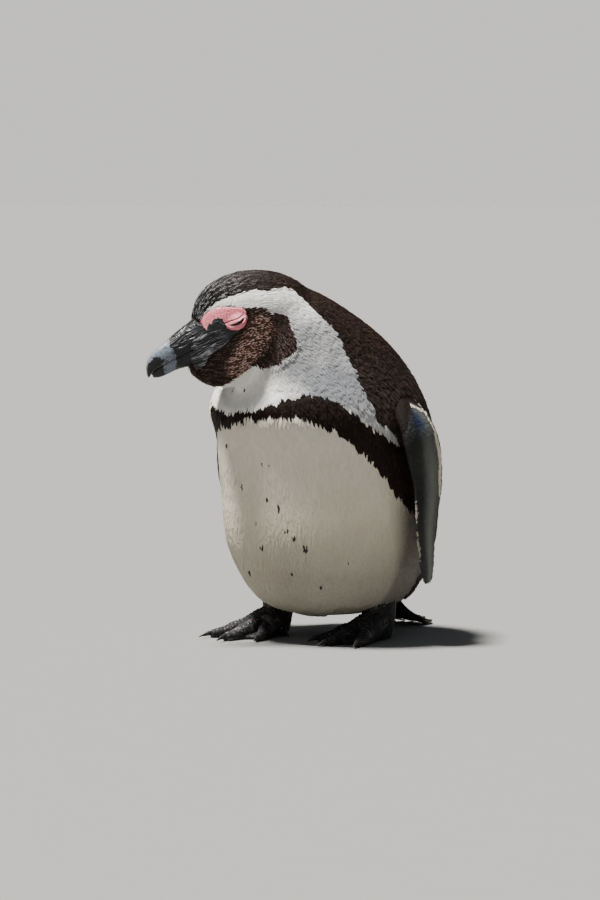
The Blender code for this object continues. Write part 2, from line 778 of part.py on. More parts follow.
def build():
    body = fused_body()
    body_tree = tree_of(body)
    body_cut = grown(body, GAP)
    ahead, _, above = head_axes()

    bill_upper = bill_half("bill_upper", UPPER_BILL_STATIONS, body_cut, GAP / 2)
    cut_nostrils(bill_upper, tree_of(bill_upper))
    bill_half("bill_lower", LOWER_BILL_STATIONS, body_cut, -GAP / 2)
    flipper("flipper_left", 1, LEFT_FLIPPER_PATH, body_cut)
    flipper("flipper_right", -1, RIGHT_FLIPPER_PATH, body_cut)
    tail(body_cut)

    along, up = THROAT_AT
    facing = ahead * HEAD_CUT_FACING[0] + above * HEAD_CUT_FACING[1]
    head = split_by_plane(body, "head", head_point(along, 0, up), facing)
    cut_mouth_line(head)
    for word, side in (("left", 1), ("right", -1)):
        eye_and_lids(head, body_tree, side, word)
    split_by_plane(body, "neck", NECK_CUT_AT, NECK_CUT_FACING)
    move_to(body, PARTS)
    feet = (
        ("left", 1, LEFT_ANKLE, LEFT_HEADING),
        ("right", -1, RIGHT_ANKLE, RIGHT_HEADING),
    )
    for word, side, ankle, heading in feet:
        leg = thigh(body, word, side)
        below = foot(word, side, ankle, heading)
        carve(leg, below)
        carve(body, below)
    remove(body_cut)


def finish_look():
    """Each piece gets a material of its own, and the whole bird stands over the origin."""
    plumage = ("torso", "neck", "leg_left", "leg_right")
    for obj in PARTS.objects:
        if obj.name in plumage:
            look = material(obj.name, (0.62, 0.60, 0.55), 0.85)
        elif obj.name == "head":
            look = material(obj.name, (0.045, 0.030, 0.024), 0.80)
        elif obj.name.startswith("eye"):
            look = material(obj.name, (0.020, 0.012, 0.008), 0.10, 0.6)
        elif obj.name.startswith("lid"):
            look = material(obj.name, (0.70, 0.29, 0.29), 0.60)
        elif obj.name.startswith("bill"):
            look = material(obj.name, (0.018, 0.018, 0.020), 0.38, 0.2)
        else:
            look = material(obj.name, (0.022, 0.021, 0.022), 0.60)
        obj.data.materials.clear()
        obj.data.materials.append(look)
        obj.data.transform(Matrix.Translation(Vector(AXIS_PLACE)))
        obj.data.shade_flat()


clear_scene()
PARTS = bpy.data.collections.new(OBJECT_NAME)
CUTTERS = bpy.data.collections.new("cutters")
bpy.context.scene.collection.children.link(PARTS)
bpy.context.scene.collection.children.link(CUTTERS)
build()
finish_look()
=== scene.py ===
"""The looks of a life-size African penguin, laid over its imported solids.

The bird faces -Y, its left side is +X and it stands on the plane z = 0. Metres throughout.
"""

import json
import math

import bmesh
import bpy
import numpy as np
from mathutils import Matrix, Vector, noise
from mathutils.bvhtree import BVHTree

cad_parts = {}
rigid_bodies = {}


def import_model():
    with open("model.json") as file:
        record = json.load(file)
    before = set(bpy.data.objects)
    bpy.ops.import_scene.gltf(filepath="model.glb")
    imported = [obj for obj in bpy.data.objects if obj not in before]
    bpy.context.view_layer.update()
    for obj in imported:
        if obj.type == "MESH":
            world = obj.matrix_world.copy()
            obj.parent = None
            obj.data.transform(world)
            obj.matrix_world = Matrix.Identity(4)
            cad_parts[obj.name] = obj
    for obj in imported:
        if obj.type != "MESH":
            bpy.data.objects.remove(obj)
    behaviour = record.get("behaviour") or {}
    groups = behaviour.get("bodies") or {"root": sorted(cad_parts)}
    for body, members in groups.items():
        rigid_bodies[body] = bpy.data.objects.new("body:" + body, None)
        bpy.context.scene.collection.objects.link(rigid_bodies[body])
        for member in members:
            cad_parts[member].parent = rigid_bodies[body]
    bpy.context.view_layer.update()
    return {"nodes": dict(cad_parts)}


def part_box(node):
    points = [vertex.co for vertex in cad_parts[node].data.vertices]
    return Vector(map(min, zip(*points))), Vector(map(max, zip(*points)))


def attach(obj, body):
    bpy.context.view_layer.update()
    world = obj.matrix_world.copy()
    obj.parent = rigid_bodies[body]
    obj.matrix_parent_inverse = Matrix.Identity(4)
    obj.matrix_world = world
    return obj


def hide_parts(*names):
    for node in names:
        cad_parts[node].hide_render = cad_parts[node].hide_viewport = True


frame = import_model()
NODES = frame["nodes"]

# Sizes

# The head's frame: how far it is turned to the bird's right and bowed, in degrees,
# its centre from the trunk's axis, and where the eyes lie in it (along, above).
HEAD_TURN = 40.0
HEAD_BOW = 27.0
HEAD_FROM_AXIS = (-0.030, -0.085, 0.270)
EYE_AT = (0.0084, 0.0059)

# The line that runs through the body from the bill to the tail. In the head's frame:
# (along, above, reach of the body round it), then (x, y, z, the underside's direction, reach).
HEAD_LINE = (
    (0.085, 0.000, 0.010),
    (0.055, 0.000, 0.018),
    (0.025, -0.002, 0.034),
    (0.000, -0.003, 0.040),
)
NECK_LINE = (
    (-0.0145, -0.0665, 0.2711, (0.19, 0.20, -0.89), 0.042),
    (-0.012, -0.056, 0.256, (-0.12, -0.35, -0.93), 0.050),
    (-0.004, -0.034, 0.234, (-0.10, -0.86, -0.50), 0.064),
    (0.000, -0.015, 0.205, (-0.03, -0.98, -0.20), 0.078),
    (0.000, -0.004, 0.170, (0, -1, -0.04), 0.088),
    (0.000, 0.000, 0.130, (0, -1, 0), 0.092),
    (0.000, 0.000, 0.090, (0, -1, 0), 0.090),
    (0.000, 0.012, 0.058, (0, -0.92, -0.40), 0.078),
    (0.000, 0.040, 0.040, (0, -0.6, -0.8), 0.060),
    (0.000, 0.075, 0.030, (0, -0.35, -0.94), 0.036),
    (0.000, 0.120, 0.018, (0, -0.25, -0.97), 0.026),
)
LINE_SAMPLES = 90
LINE_BLEND = 0.20
READ_AT_ONCE = 20000

# Markings, in millimetres along the body line and degrees round it from the underside.
# The upper edge of the white: dark lies above it, from the bill over the crown down the back.
BACK_EDGE = (
    (0, 180), (60, 150), (71, 146), (77, 143), (87, 137), (95, 136), (105, 127), (110, 124),
    (116, 114), (145, 107), (161, 95), (174, 82), (186, 74), (200, 68), (211, 67), (227, 65),
    (232, 72), (238, 75), (245, 76), (250, 72), (264, 77), (275, 98),
    (283, 106), (308, 112), (335, 112), (375, 116), (430, 112),
)
# The dark face: forehead, cheek and chin.
FACE_PATCH = (
    (-20, -5), (-20, 200), (56, 200), (60, 150), (62, 144), (68, 142), (74, 137), (85, 122),
    (89, 118), (99, 110), (110, 91), (124, 76), (139, 72), (147, 61), (149, 48), (147, 34),
    (145, 24), (136, 12), (133, -5),
)
# The line on each cheek along which its feathers are palest, in the head's frame as below; their pale tips
# are partly painted highlight.
CHEEK_GLOW = ((-5, -8), (2, -15), (22, -28))
# The bare skin of each side's face in millimetres (along, above) of the head's frame: the
# whole patch, which is black towards the bill, and the pink part of it round the eye.
BARE_PATCH = (
    (56, 15.5), (45, 18.5), (39, 21.0), (36, 18.9), (34.5, 16.0), (33.6, 19.4), (31.0, 21.6),
    (27.5, 23.2), (24.7, 23.6), (21.0, 24.0), (17.8, 23.6), (14.5, 22.5), (9.3, 20.0), (4.4, 17.5),
    (0.6, 14.8), (-0.6, 12.3), (0.2, 9.0), (1.2, 5.6), (3.6, 2.4), (6.8, 0.5), (10.3, -0.8),
    (17.1, -2.1), (21.5, -4.8), (27.6, -6.8), (33.8, -8.0), (38.5, -8.8), (42.5, -10.8),
    (45.5, -13.7), (50, -16.2), (56, -17.0),
)
PINK_PATCH = (
    (33.4, 11.4), (34.3, 15.0), (33.6, 20.4), (31.0, 22.6), (27.5, 24.2), (24.7, 24.6),
    (21.0, 25.0), (17.8, 24.6), (14.5, 23.5), (9.3, 21.0), (4.4, 18.5), (-0.4, 15.8),
    (-1.6, 12.3), (-0.8, 8.6), (0.6, 5.2), (3.2, 1.6), (6.8, -0.2), (11.4, 0.1), (14.9, 1.2),
    (18.0, 3.6), (19.3, 5.8), (18.9, 8.0), (18.6, 10.6), (19.2, 13.9), (21.2, 16.4), (24.6, 16.8),
    (27.2, 14.6), (30.2, 14.8), (31.8, 12.8),
)
# Lines of the lids in the same frame, each from the front of the eye to its rear.
SLIT_LINE = ((15.9, 6.2), (13.0, 5.6), (9.2, 5.4), (5.8, 6.0), (4.0, 7.0))
LOWER_LID_LINE = (
    (19.0, 8.2), (18.4, 6.4), (16.4, 4.7), (13.0, 3.5), (9.1, 3.2), (5.4, 4.1), (3.2, 5.7), (2.9, 7.6),
)
UPPER_LID_LINE = ((17.8, 7.6), (14.9, 7.7), (10.7, 7.2), (7.0, 7.2), (4.4, 8.1))
LID_CREASE = ((19.0, 9.8), (14.7, 9.7), (9.4, 9.0), (4.6, 9.4), (3.0, 9.8))
# The breast band in degrees round the trunk's axis and metres of height: its ends, which are
# alike on both sides, then its upper edge from the right side to the left and its lower edge back.
BAND_END_TOP = (
    (58, 0.182), (70, 0.170), (82, 0.163), (100, 0.150), (116, 0.110), (126, 0.060), (128, 0.020),
)
BAND_END_BOTTOM = (
    (116, 0.020), (112, 0.055), (101, 0.075), (94, 0.095), (87, 0.108), (80, 0.116), (76, 0.1195),
    (72, 0.1245),
)


def mirrored(line):
    return tuple((-degrees, height) for degrees, height in reversed(line))


BAND_TOP = (
    *mirrored(BAND_END_TOP), (-47, 0.192), (-38, 0.198), (-18, 0.193), (-5, 0.1965), (4, 0.2005),
    (16, 0.2070), (24, 0.2115), (37, 0.206), (47, 0.195), *BAND_END_TOP,
)
BAND_BOTTOM = (
    *BAND_END_BOTTOM, (61.6, 0.147), (53, 0.160), (42, 0.176), (32, 0.1845), (20, 0.191), (4, 0.190),
    (-5, 0.188), (-21, 0.182), (-30, 0.181), (-42, 0.175), (-53, 0.160), (-61, 0.147),
    *mirrored(BAND_END_BOTTOM),
)
# Small dark spots on the belly and throat: degrees round, height, radius.
SPOTS = (
    (-29.7, 0.1648, 0.0020), (-2.5, 0.1512, 0.0016), (1.9, 0.1515, 0.0011), (-19.9, 0.1311, 0.0019),
    (-1.3, 0.1210, 0.0023), (5.6, 0.1157, 0.0024), (-9.9, 0.1026, 0.0018), (10.6, 0.0967, 0.0018),
    (14.6, 0.0919, 0.0022), (21.2, 0.0829, 0.0025), (-8.0, 0.0817, 0.0021), (-26.8, 0.0581, 0.0022),
    (10.8, 0.0617, 0.0021), (29.4, 0.0501, 0.0017), (-27.6, 0.2110, 0.0014), (-15.2, 0.2119, 0.0015),
    (-48.0, 0.1330, 0.0021), (-62.0, 0.0980, 0.0019), (46.0, 0.0700, 0.0016), (-52.0, 0.0760, 0.0018),
)
EDGE_RAG = 0.0022
SPOT_RAG = 0.25
SPOT_SHARE = 0.85

# Skin: fineness, smoothing and how far it lies under the feathers' tips.
SKIN_VOXEL = 0.0016
SKIN_SMOOTHING = 22
SEAM_FILL = 0.00025
FACE_DEPTH = 0.0014
BODY_DEPTH = 0.0020
FLESH = ("head", "neck", "torso", "leg_left", "leg_right")

# Where the coats of face, neck and trunk end and start along the body line, and how far they fade.
FACE_END = 0.128
NECK_START = 0.118
NECK_END = 0.215
TRUNK_START = 0.202
FACE_FADE = 0.010
TRUNK_FADE = 0.014

# Feathers: spacing, length, width, loft in millimetres and seed, for the face, the neck and
# the trunk.
COATS = {
    "face": (0.00098, 0.0050, 0.00092, 0.75, 11),
    "neck": (0.00105, 0.0054, 0.00150, 1.0, 12),
    "trunk": (0.00136, 0.0092, 0.0023, 1.15, 13),
}
FEATHER_POINTS = 11
FEATHER_SHAPES = 6
# How many roots are tried for each spacing's square, and how unlike the feathers' sizes are and
# the angles that they are turned by.
ROOTS_TRIED = 9.0
SIZE_RANGE = (0.82, 1.18)
LEAST_SWAY = (-0.10, -0.060, -0.15)
MOST_SWAY = (0.10, 0.040, 0.15)
# A marking is read at this share of a feather's length, where the feather shows. The skin
# between the feathers looks like this share of a feather, with this number for its tuft.
SHOWN_SHARE = 0.72
BARE_COAT = (0.2, 0.5)
STREAK_LENGTH = 5.5
STREAK_WIDTH = 0.9
TUFT_SWAY = 0.06
WHITE_LIFT = 0.46
NECK_LIFT = 0.50
BROW_LIFT = 0.42
NECK_RUFFLE = 0.00009
SHOULDER_SWELL = (-55.0, 28.0, 0.200, 0.020, 0.0048)
MOST_FEATHERS = 10500
# The margin of the coats' UV map, and the size of each feather's patch in it.
BAKE_RIM = 0.004
BAKE_PATCH = 0.003
# How near to the legs' surface and how high the skin is black and clear of feathers.
ANKLE_SKIN = 0.0010
ANKLE_CLEAR = 0.0080
ANKLE_TOP = 0.037
ANKLE_DARK = 0.021

# Bill: (along the head, height of its top or bottom, height of its cutting edge, half width)
UPPER_BILL_STATIONS = (
    (0.0220, 0.0235, 0.0004, 0.0160),
    (0.0360, 0.0215, 0.0004, 0.0140),
    (0.0520, 0.0183, 0.0003, 0.0110),
    (0.0650, 0.0159, 0.0002, 0.0092),
    (0.0760, 0.0140, 0.0002, 0.0078),
    (0.0840, 0.0105, -0.0004, 0.0063),
    (0.0890, 0.0050, -0.0024, 0.0045),
    (0.0915, -0.0008, -0.0046, 0.0022),
)
LOWER_BILL_STATIONS = (
    (0.0220, -0.0150, 0.0004, 0.0140),
    (0.0400, -0.0145, 0.0004, 0.0122),
    (0.0570, -0.0116, 0.0003, 0.0098),
    (0.0680, -0.0094, 0.0002, 0.0084),
    (0.0780, -0.0090, -0.0002, 0.0068),
    (0.0840, -0.0080, -0.0010, 0.0052),
    (0.0875, -0.0064, -0.0026, 0.0030),
)
BILL_FULLNESS = 0.8
BILL_GAP = 0.0004
BILL_ROWS = 240
BILL_COLUMNS = 121
WRINKLE_DEPTH = 0.00055
UPPER_WRINKLES = 14.5
LOWER_WRINKLES = 9.5
NOSTRIL_AT = (0.0560, 0.0078)
NOSTRIL_REACH = (0.0048, 0.0009)

# The pale band round each half of the bill in millimetres (along, above).
UPPER_PALE = (
    (60.5, 20.0), (61.3, 16.3), (64.6, 12.5), (64.6, 8.9), (63.6, 5.2), (65.3, 0.6), (68.0, -2.0),
    (77.5, -2.0), (79.0, 1.8), (75.5, 3.4), (77.0, 6.4), (81.5, 8.6), (87.5, 5.5), (90.0, 9.0),
    (80.0, 20.0),
)
LOWER_PALE = (
    (64.9, 2.0), (64.6, -2.0), (66.4, -5.0), (67.0, -12.0), (79.5, -12.0), (79.0, -6.0),
    (77.0, 2.0),
)

# The bare skin's reach along and above in the head's frame, its fineness and thickness, and
# how it rises over the eye.
BARE_ALONG = (-0.0045, 0.0545)
BARE_ABOVE = (-0.0185, 0.0265)
BARE_STEP = 0.00027
BARE_THICKNESS = 0.0016
BARE_LIFT = 0.0007
BILL_BLEND = 0.0045
EYE_MIDDLE = (9.6, 6.4)
EYE_REACH = (9.5, 7.0)
EYE_BULGE = 0.0020
EYE_RADIUS = 0.0066
EYE_OUT = 0.20
SLIT_HALF = 1.0
SLIT_DEPTH = 0.0026
# How far to each side of the eye the slope of its seat is read.
EYE_SEAT = 0.004

# Flippers: (share of the length, half thickness, reach to the front edge, reach to the rear edge)
FLIPPER_STATIONS = (
    (0.00, 0.0060, 0.0110, 0.0110),
    (0.10, 0.0080, 0.0185, 0.0180),
    (0.24, 0.0072, 0.0225, 0.0225),
    (0.42, 0.0058, 0.0205, 0.0230),
    (0.62, 0.0048, 0.0165, 0.0190),
    (0.80, 0.0040, 0.0130, 0.0155),
    (0.93, 0.0032, 0.0108, 0.0118),
    (1.00, 0.0016, 0.0062, 0.0066),
)
LEFT_FLIPPER_PATH = (
    (0.080, -0.007, 0.208),
    (0.1003, -0.0125, 0.178),
    (0.1035, -0.0060, 0.137),
    (0.1035, -0.0085, 0.096),
    (0.1035, -0.0045, 0.054),
)
RIGHT_FLIPPER_PATH = (
    (-0.076, -0.006, 0.214),
    (-0.0945, -0.004, 0.182),
    (-0.1003, -0.002, 0.148),
    (-0.1025, 0.012, 0.100),
    (-0.1000, 0.030, 0.056),
)
SIDES = {"left": (1, LEFT_FLIPPER_PATH), "right": (-1, RIGHT_FLIPPER_PATH)}
FLIPPER_TUCK = (-9.0, 9.0)
FLIPPER_SCALE = (0.00115, 0.0030, 0.0015, 0.36, 14)
FLIPPER_DEPTH = 0.0004

# Feet: fineness of their skin and the depth of the creases between the scutes.
FOOT_VOXEL = 0.00078
FOOT_SMOOTHING = 6
HEEL_FROM_REAR = 0.014
SCUTE_DEPTH = 0.00040
SCUTE_LENGTH = 0.0032
PEBBLE_SIZE = 0.0017
PEBBLE_DEPTH = 0.00022

# Tail feathers: their common root, length, fan, and tiers as (count, height, share of the length).
TAIL_ROOT = (0.0, 0.074, 0.030)
TAIL_LENGTH = 0.063
TAIL_FAN = 15.0
TAIL_TIERS = ((9, 0.0006, 1.00), (8, 0.0028, 0.95), (9, 0.0050, 0.86), (8, 0.0074, 0.72))
VANE_WIDTH = 0.0072
VANE_STEPS = 16
VANE_THICKNESS = 0.00042
VANE_DROOP = 0.0009
SHAFT_HEIGHT = 0.00065
# How far the feathers lie above the tiers' heights, and the least heights of their two sides.
VANE_CLEAR = 0.0004
VANE_TOP = 0.0006
VANE_UNDERSIDE = 0.0002

# Camera: the photograph's direction, distance, metres for each of its pixels and its middle.
CAMERA_AZIMUTH = 35.0
CAMERA_ELEVATION = 4.0
CAMERA_DISTANCE = 3.2
METRES_A_PIXEL = 0.00085
PICTURE = (600, 900)
AXIS_PIXEL = (329, 637)
SKYLINE = (0.84, 0.83, 0.80)
ROOM_LIGHT = (0.13, 0.145, 0.165)
SENSOR = 36.0
SKY_CLIMB = (0.06, 0.16)
FLOOR_HALF = 60.0

# Lamps: name, kind, degrees round from the camera, degrees up, distance, the name and value of
# its size, power, colour.
LAMPS = (
    ("key", "SUN", -80.0, 74.0, 9.0, "angle", math.radians(10), 15.0, (1.0, 0.98, 0.95)),
    ("fill", "AREA", -20.0, 30.0, 4.0, "size", 2.0, 12.0, (0.95, 0.97, 1.0)),
)
LAMP_AIM = (0, 0, 0.17)


# Places


def clamp(value):
    return np.clip(value, 0, 1)


def unit(vectors):
    return vectors / np.maximum(np.linalg.norm(vectors, axis=-1, keepdims=True), 1e-12)


def square_to(vectors, axis):
    """The direction of each vector without its part along the axis."""
    return unit(vectors - axis * (vectors * axis).sum(1, keepdims=True))


def middle(node):
    low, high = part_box(node)
    return (low + high) / 2


def head_directions():
    """Which way is ahead, to the left and above for the turned and bowed head."""
    turn = math.radians(HEAD_TURN)
    bow = math.radians(HEAD_BOW)
    level = Vector((-math.sin(turn), -math.cos(turn), 0))
    ahead = level * math.cos(bow) + Vector((0, 0, -math.sin(bow)))
    left = Vector((math.cos(turn), -math.sin(turn), 0))
    return ahead, left, ahead.cross(left)


AHEAD, LEFT, ABOVE = head_directions()
EYES_MIDDLE = (middle("eye_left") + middle("eye_right")) / 2
HEAD_CENTRE = EYES_MIDDLE - AHEAD * EYE_AT[0] - ABOVE * EYE_AT[1]
AXIS = HEAD_CENTRE - Vector(HEAD_FROM_AXIS)
HEAD_TO_BIRD = np.array([AHEAD, LEFT, ABOVE])


def head_point(along, sideways, above):
    return HEAD_CENTRE + AHEAD * along + LEFT * sideways + ABOVE * above


def in_head(points):
    """(along, sideways, above) of points in the head's own frame."""
    return (points - np.array(HEAD_CENTRE)) @ HEAD_TO_BIRD.T


def from_head(*rows):
    """Points of the bird from arrays of (along, sideways, above)."""
    return np.array(HEAD_CENTRE) + np.stack(rows, -1) @ HEAD_TO_BIRD


def smooth_curve(stations, count):
    """Rows read evenly from a smooth curve through the stations."""
    rows = np.array(stations, float)
    padded = np.vstack([2 * rows[0] - rows[1], rows, 2 * rows[-1] - rows[-2]])
    read = []
    for place in np.linspace(0, len(rows) - 1, count):
        piece = min(int(place), len(rows) - 2)
        t = place - piece
        before, start, end, after = padded[piece : piece + 4]
        line = 2 * start + (end - before) * t
        bend = (2 * before - 5 * start + 4 * end - after) * t**2
        twist = (3 * start - before - 3 * end + after) * t**3
        read.append((line + bend + twist) / 2)
    return np.array(read)


def lengths_to(line):
    """How far each point of a line lies along it."""
    steps = np.linalg.norm(np.diff(line, axis=0), axis=1)
    return np.concatenate([[0], np.cumsum(steps)])


class BodyLine:
    """The line from bill to tail, and where any point lies along it and round it."""

    def __init__(self):
        rows = [(*head_point(along, 0, above), *-ABOVE, reach) for along, above, reach in HEAD_LINE]
        for x, y, z, underside, reach in NECK_LINE:
            rows.append((*(Vector((x, y, z)) + AXIS), *Vector(underside).normalized(), reach))
        fine = smooth_curve(rows, LINE_SAMPLES)
        self.centre = fine[:, :3]
        self.under = fine[:, 3:6]
        self.reach = fine[:, 6]
        self.way = unit(np.gradient(self.centre, axis=0))
        self.along = lengths_to(self.centre)

    def read(self, points):
        """(metres along, degrees round from the underside, the line's direction) at each point."""
        found = []
        for start in range(0, len(points), READ_AT_ONCE):
            part = points[start : start + READ_AT_ONCE]
            far = ((part[:, None] - self.centre[None]) ** 2).sum(2) / self.reach**2
            share = np.exp(-(far - far.min(1, keepdims=True)) / (2 * LINE_BLEND**2))
            share /= share.sum(1, keepdims=True)
            way = unit(share @ self.way)
            under = square_to(share @ self.under, way)
            side = np.cross(under, way)
            out = part - share @ self.centre
            around = np.degrees(np.arctan2((out * side).sum(1), (out * under).sum(1)))
            found.append(np.column_stack([share @ self.along, around, way]))
        found = np.vstack(found)
        return found[:, 0], found[:, 1], found[:, 2:]


LINE = BodyLine()


# Markings


def line_distance(line, x, y):
    """Distance to a line, and the share of the line at the nearest point."""
    best = np.full(np.shape(x), 1e9)
    share = np.zeros(np.shape(x))
    for k, ((x0, y0), (x1, y1)) in enumerate(zip(line, line[1:])):
        dx, dy = x1 - x0, y1 - y0
        t = clamp(((x - x0) * dx + (y - y0) * dy) / (dx * dx + dy * dy))
        far = np.hypot(x - x0 - t * dx, y - y0 - t * dy)
        share = np.where(far < best, (k + t) / (len(line) - 1), share)
        best = np.minimum(best, far)
    return best, share


def inside(outline, x, y):
    """Which points lie inside a closed outline."""
    found = np.zeros(np.shape(x), bool)
    for (x0, y0), (x1, y1) in zip(outline, (*outline[1:], outline[0])):
        reach = x0 + (y - y0) * (x1 - x0) / (y1 - y0 if y1 != y0 else 1e-9)
        found ^= ((y0 > y) != (y1 > y)) & (x < reach)
    return found


def edge_distance(outline, x, y):
    """Signed distance to a closed outline, above 0 inside."""
    far = line_distance((*outline, outline[0]), x, y)[0]
    return np.where(inside(outline, x, y), far, -far)


def ripple(points, size, seed):
    """Smooth noise between about -1 and 1 for each point, at this size."""
    shift = Vector((seed * 3.7, seed * 1.3, seed * 7.1))
    return np.array([noise.noise(Vector(point) / size + shift) for point in points]) * 1.6


def flat_noise(x, y, seed):
    """Smooth noise of about unit size over a grid of flat places."""
    found = [noise.noise(Vector((a, b, seed))) for a, b in zip(np.ravel(x), np.ravel(y))]
    return np.reshape(found, np.shape(x))


def trunk_angle(points):
    """Degrees round the trunk's axis, from the breast to the bird's left."""
    return np.degrees(np.arctan2(points[:, 0] - AXIS.x, AXIS.y - points[:, 1]))


def on_bare_skin(points, margin):
    """Which points lie on the bare patch of either side of the face, or this near to it."""
    along, sideways, above = (in_head(points) * 1000).T
    beside = (np.abs(sideways) > 7) & (along > -8) & (along < 60)
    far = np.full(len(points), -10.0)
    far[beside] = edge_distance(BARE_PATCH, along[beside], above[beside])
    return far > -margin


def columns(*values):
    """Numbers and arrays side by side, as one row for each point."""
    return np.stack(np.broadcast_arrays(*values), -1).reshape(-1, len(values))


def markings(points, ragged=True):
    """How dark each point is, what kind of dark (0 body, 0.5 crown, 1 face), and its tones of colour,
    painted light and painted shade.
    """
    along, around, _ = LINE.read(points)
    along_mm = along * 1000
    up = points[:, 2]
    height = up
    turn = 0
    if ragged:
        rag = ripple(points, 0.0045, 1) + 0.7 * ripple(points, 0.0018, 2)
        fine = np.interp(along_mm, (60, 110, 200), (0.35, 0.6, 1.0))
        along_mm = along_mm + rag * fine * EDGE_RAG * 1000
        turn = ripple(points, 0.005, 3) * fine * 1.6
        height = up + rag * EDGE_RAG * 0.6
    # How far a point lies towards either side of the neck, for the painted shade there.
    side = np.interp(around, (-95, -60, 16, 42), (1, 0, 0, 1))
    around = np.abs(around + turn)
    back = around > np.interp(along_mm, *zip(*BACK_EDGE))
    face = inside(FACE_PATCH, along_mm, around)
    angle = trunk_angle(points)
    band = inside(BAND_TOP + BAND_BOTTOM, angle + turn, height) & (along > 0.165)
    spot = np.zeros(len(points), bool)
    reach = np.hypot(points[:, 0] - AXIS.x, points[:, 1] - AXIS.y)
    for degrees, level, radius in SPOTS:
        off = np.hypot(np.radians(angle - degrees) * reach, up - level)
        near = np.nonzero(off < 2 * radius)[0]
        spot[near] |= off[near] < radius * (SPOT_SHARE + SPOT_RAG * ripple(points[near], 0.002, 5))
    dark = (back | face | band | spot).astype(float)
    crown = 0.5 * clamp((0.106 - along) / 0.03) * back
    kind = np.where(face & (around < 150), 1.0, crown)
    above_band = height > np.interp(angle, *zip(*BAND_TOP))
    cream = np.where(above_band, 0.15, np.interp(up, (0.10, 0.18), (1.0, 0.78)))
    # On dark feathers this number is painted light instead: the back paler lower down.
    cream = np.where(dark > 0.5, np.interp(up, (0.13, 0.25), (1, 0)), cream)
    # Painted shade on the white at the neck's sides; on dark feathers the same number marks the band
    # instead.
    neck_shade_and_band = np.interp(up, (0.185, 0.205, 0.220, 0.240), (0.65, 1.0, 1.0, 0.85))
    neck_shade_and_band = np.interp(up, (0.266, 0.290), (1, 0)) * side * above_band * neck_shade_and_band
    neck_shade_and_band = np.where(dark > 0.5, band, neck_shade_and_band)
    # Painted shade low on the belly and on the flank beside the flipper.
    low = np.interp(up, (0.056, 0.108), (1, 0)) * np.interp(angle, (-40, 5), (0.25, 0.70))
    flank_shade = np.interp(angle, (67, 83), (0, 1)) * (up < 0.19)
    # On the face the same number is the cheek's own darker rim and its darker parts away from the glow
    # line.
    rim = np.interp(edge_distance(FACE_PATCH, along_mm, around), (1.0, 6.0), (0.9, 0))
    ahead, _, above = (in_head(points) * 1000).T
    aside = np.interp(line_distance(CHEEK_GLOW, ahead, above)[0], (8, 14), (0, 0.95))
    shade_and_dark_rim = np.where(kind > 0.9, np.maximum(rim, aside), np.maximum(low, flank_shade))
    return dark, kind, columns(cream, neck_shade_and_band, shade_and_dark_rim, 1)


# Meshes


def new_object(name, data):
    obj = bpy.data.objects.new(name, data)
    bpy.context.scene.collection.objects.link(obj)
    return obj


def mesh_from(points, faces, smooth=True):
    """A mesh from points and faces, which are one array or a list of tuples."""
    mesh = bpy.data.meshes.new("mesh")
    mesh.vertices.add(len(points))
    set_points(mesh, points)
    alike = isinstance(faces, np.ndarray)
    sizes = np.full(len(faces), faces.shape[1]) if alike else np.array([len(face) for face in faces])
    corners = faces.ravel() if alike else np.concatenate(faces)
    mesh.loops.add(len(corners))
    mesh.loops.foreach_set("vertex_index", corners.astype(np.int32))
    mesh.polygons.add(len(sizes))
    mesh.polygons.foreach_set("loop_start", (np.cumsum(sizes) - sizes).astype(np.int32))
    mesh.polygons.foreach_set("use_smooth", np.full(len(sizes), smooth))
    mesh.update(calc_edges=True)
    mesh.validate()
    return mesh


def set_points(mesh, points):
    mesh.vertices.foreach_set("co", np.asarray(points, np.float32).ravel())


def rows_of(items, key="vector", width=3, kind=np.float32):
    """What each of a mesh's items holds under a key, one row for each."""
    found = np.empty(len(items) * width, kind)
    items.foreach_get(key, found)
    return found.reshape(-1, width).astype(float if kind == np.float32 else int)


def corners_of(mesh):
    return rows_of(mesh.loops, "vertex_index", 1, np.int32)[:, 0]


def store(mesh, **values):
    """Puts numbers, vectors or colours on the mesh's points, told apart by how many each point has."""
    kinds = {1: ("FLOAT", "value"), 3: ("FLOAT_VECTOR", "vector"), 4: ("FLOAT_COLOR", "color")}
    for name, rows in values.items():
        kind, slot = kinds[np.size(rows[0])]
        attribute = mesh.attributes.new(name, kind, "POINT")
        attribute.data.foreach_set(slot, np.asarray(rows, np.float32).ravel())


def opened(mesh):
    """The mesh in the form in which its points and faces can be worked on."""
    work = bmesh.new()
    work.from_mesh(mesh)
    return work


def closed_into(mesh, work):
    work.to_mesh(mesh)
    work.free()
    return mesh


def modified(mesh, *steps):
    """A plain mesh of what modifiers, given as their kinds and settings, make of a mesh."""
    holder = new_object("holder", mesh)
    for kind, settings in steps:
        made = holder.modifiers.new(kind, kind)
        for key, value in settings.items():
            if key.startswith("Socket"):
                made[key] = value
            else:
                setattr(made, key, value)
    bpy.context.view_layer.update()
    graph = bpy.context.evaluated_depsgraph_get()
    result = bpy.data.meshes.new_from_object(holder.evaluated_get(graph))
    bpy.data.objects.remove(holder)
    return result


def merged_copy(nodes, grow=0.0):
    """One mesh of several solids, each with its loose triangles joined and its surface moved out."""
    whole = bmesh.new()
    for node in nodes:
        part = opened(NODES[node].data)
        bmesh.ops.remove_doubles(part, verts=part.verts, dist=1e-6)
        part.normal_update()
        for vert in part.verts:
            vert.co += vert.normal * grow
        whole.from_mesh(closed_into(bpy.data.meshes.new("part"), part))
    return closed_into(bpy.data.meshes.new("whole"), whole)


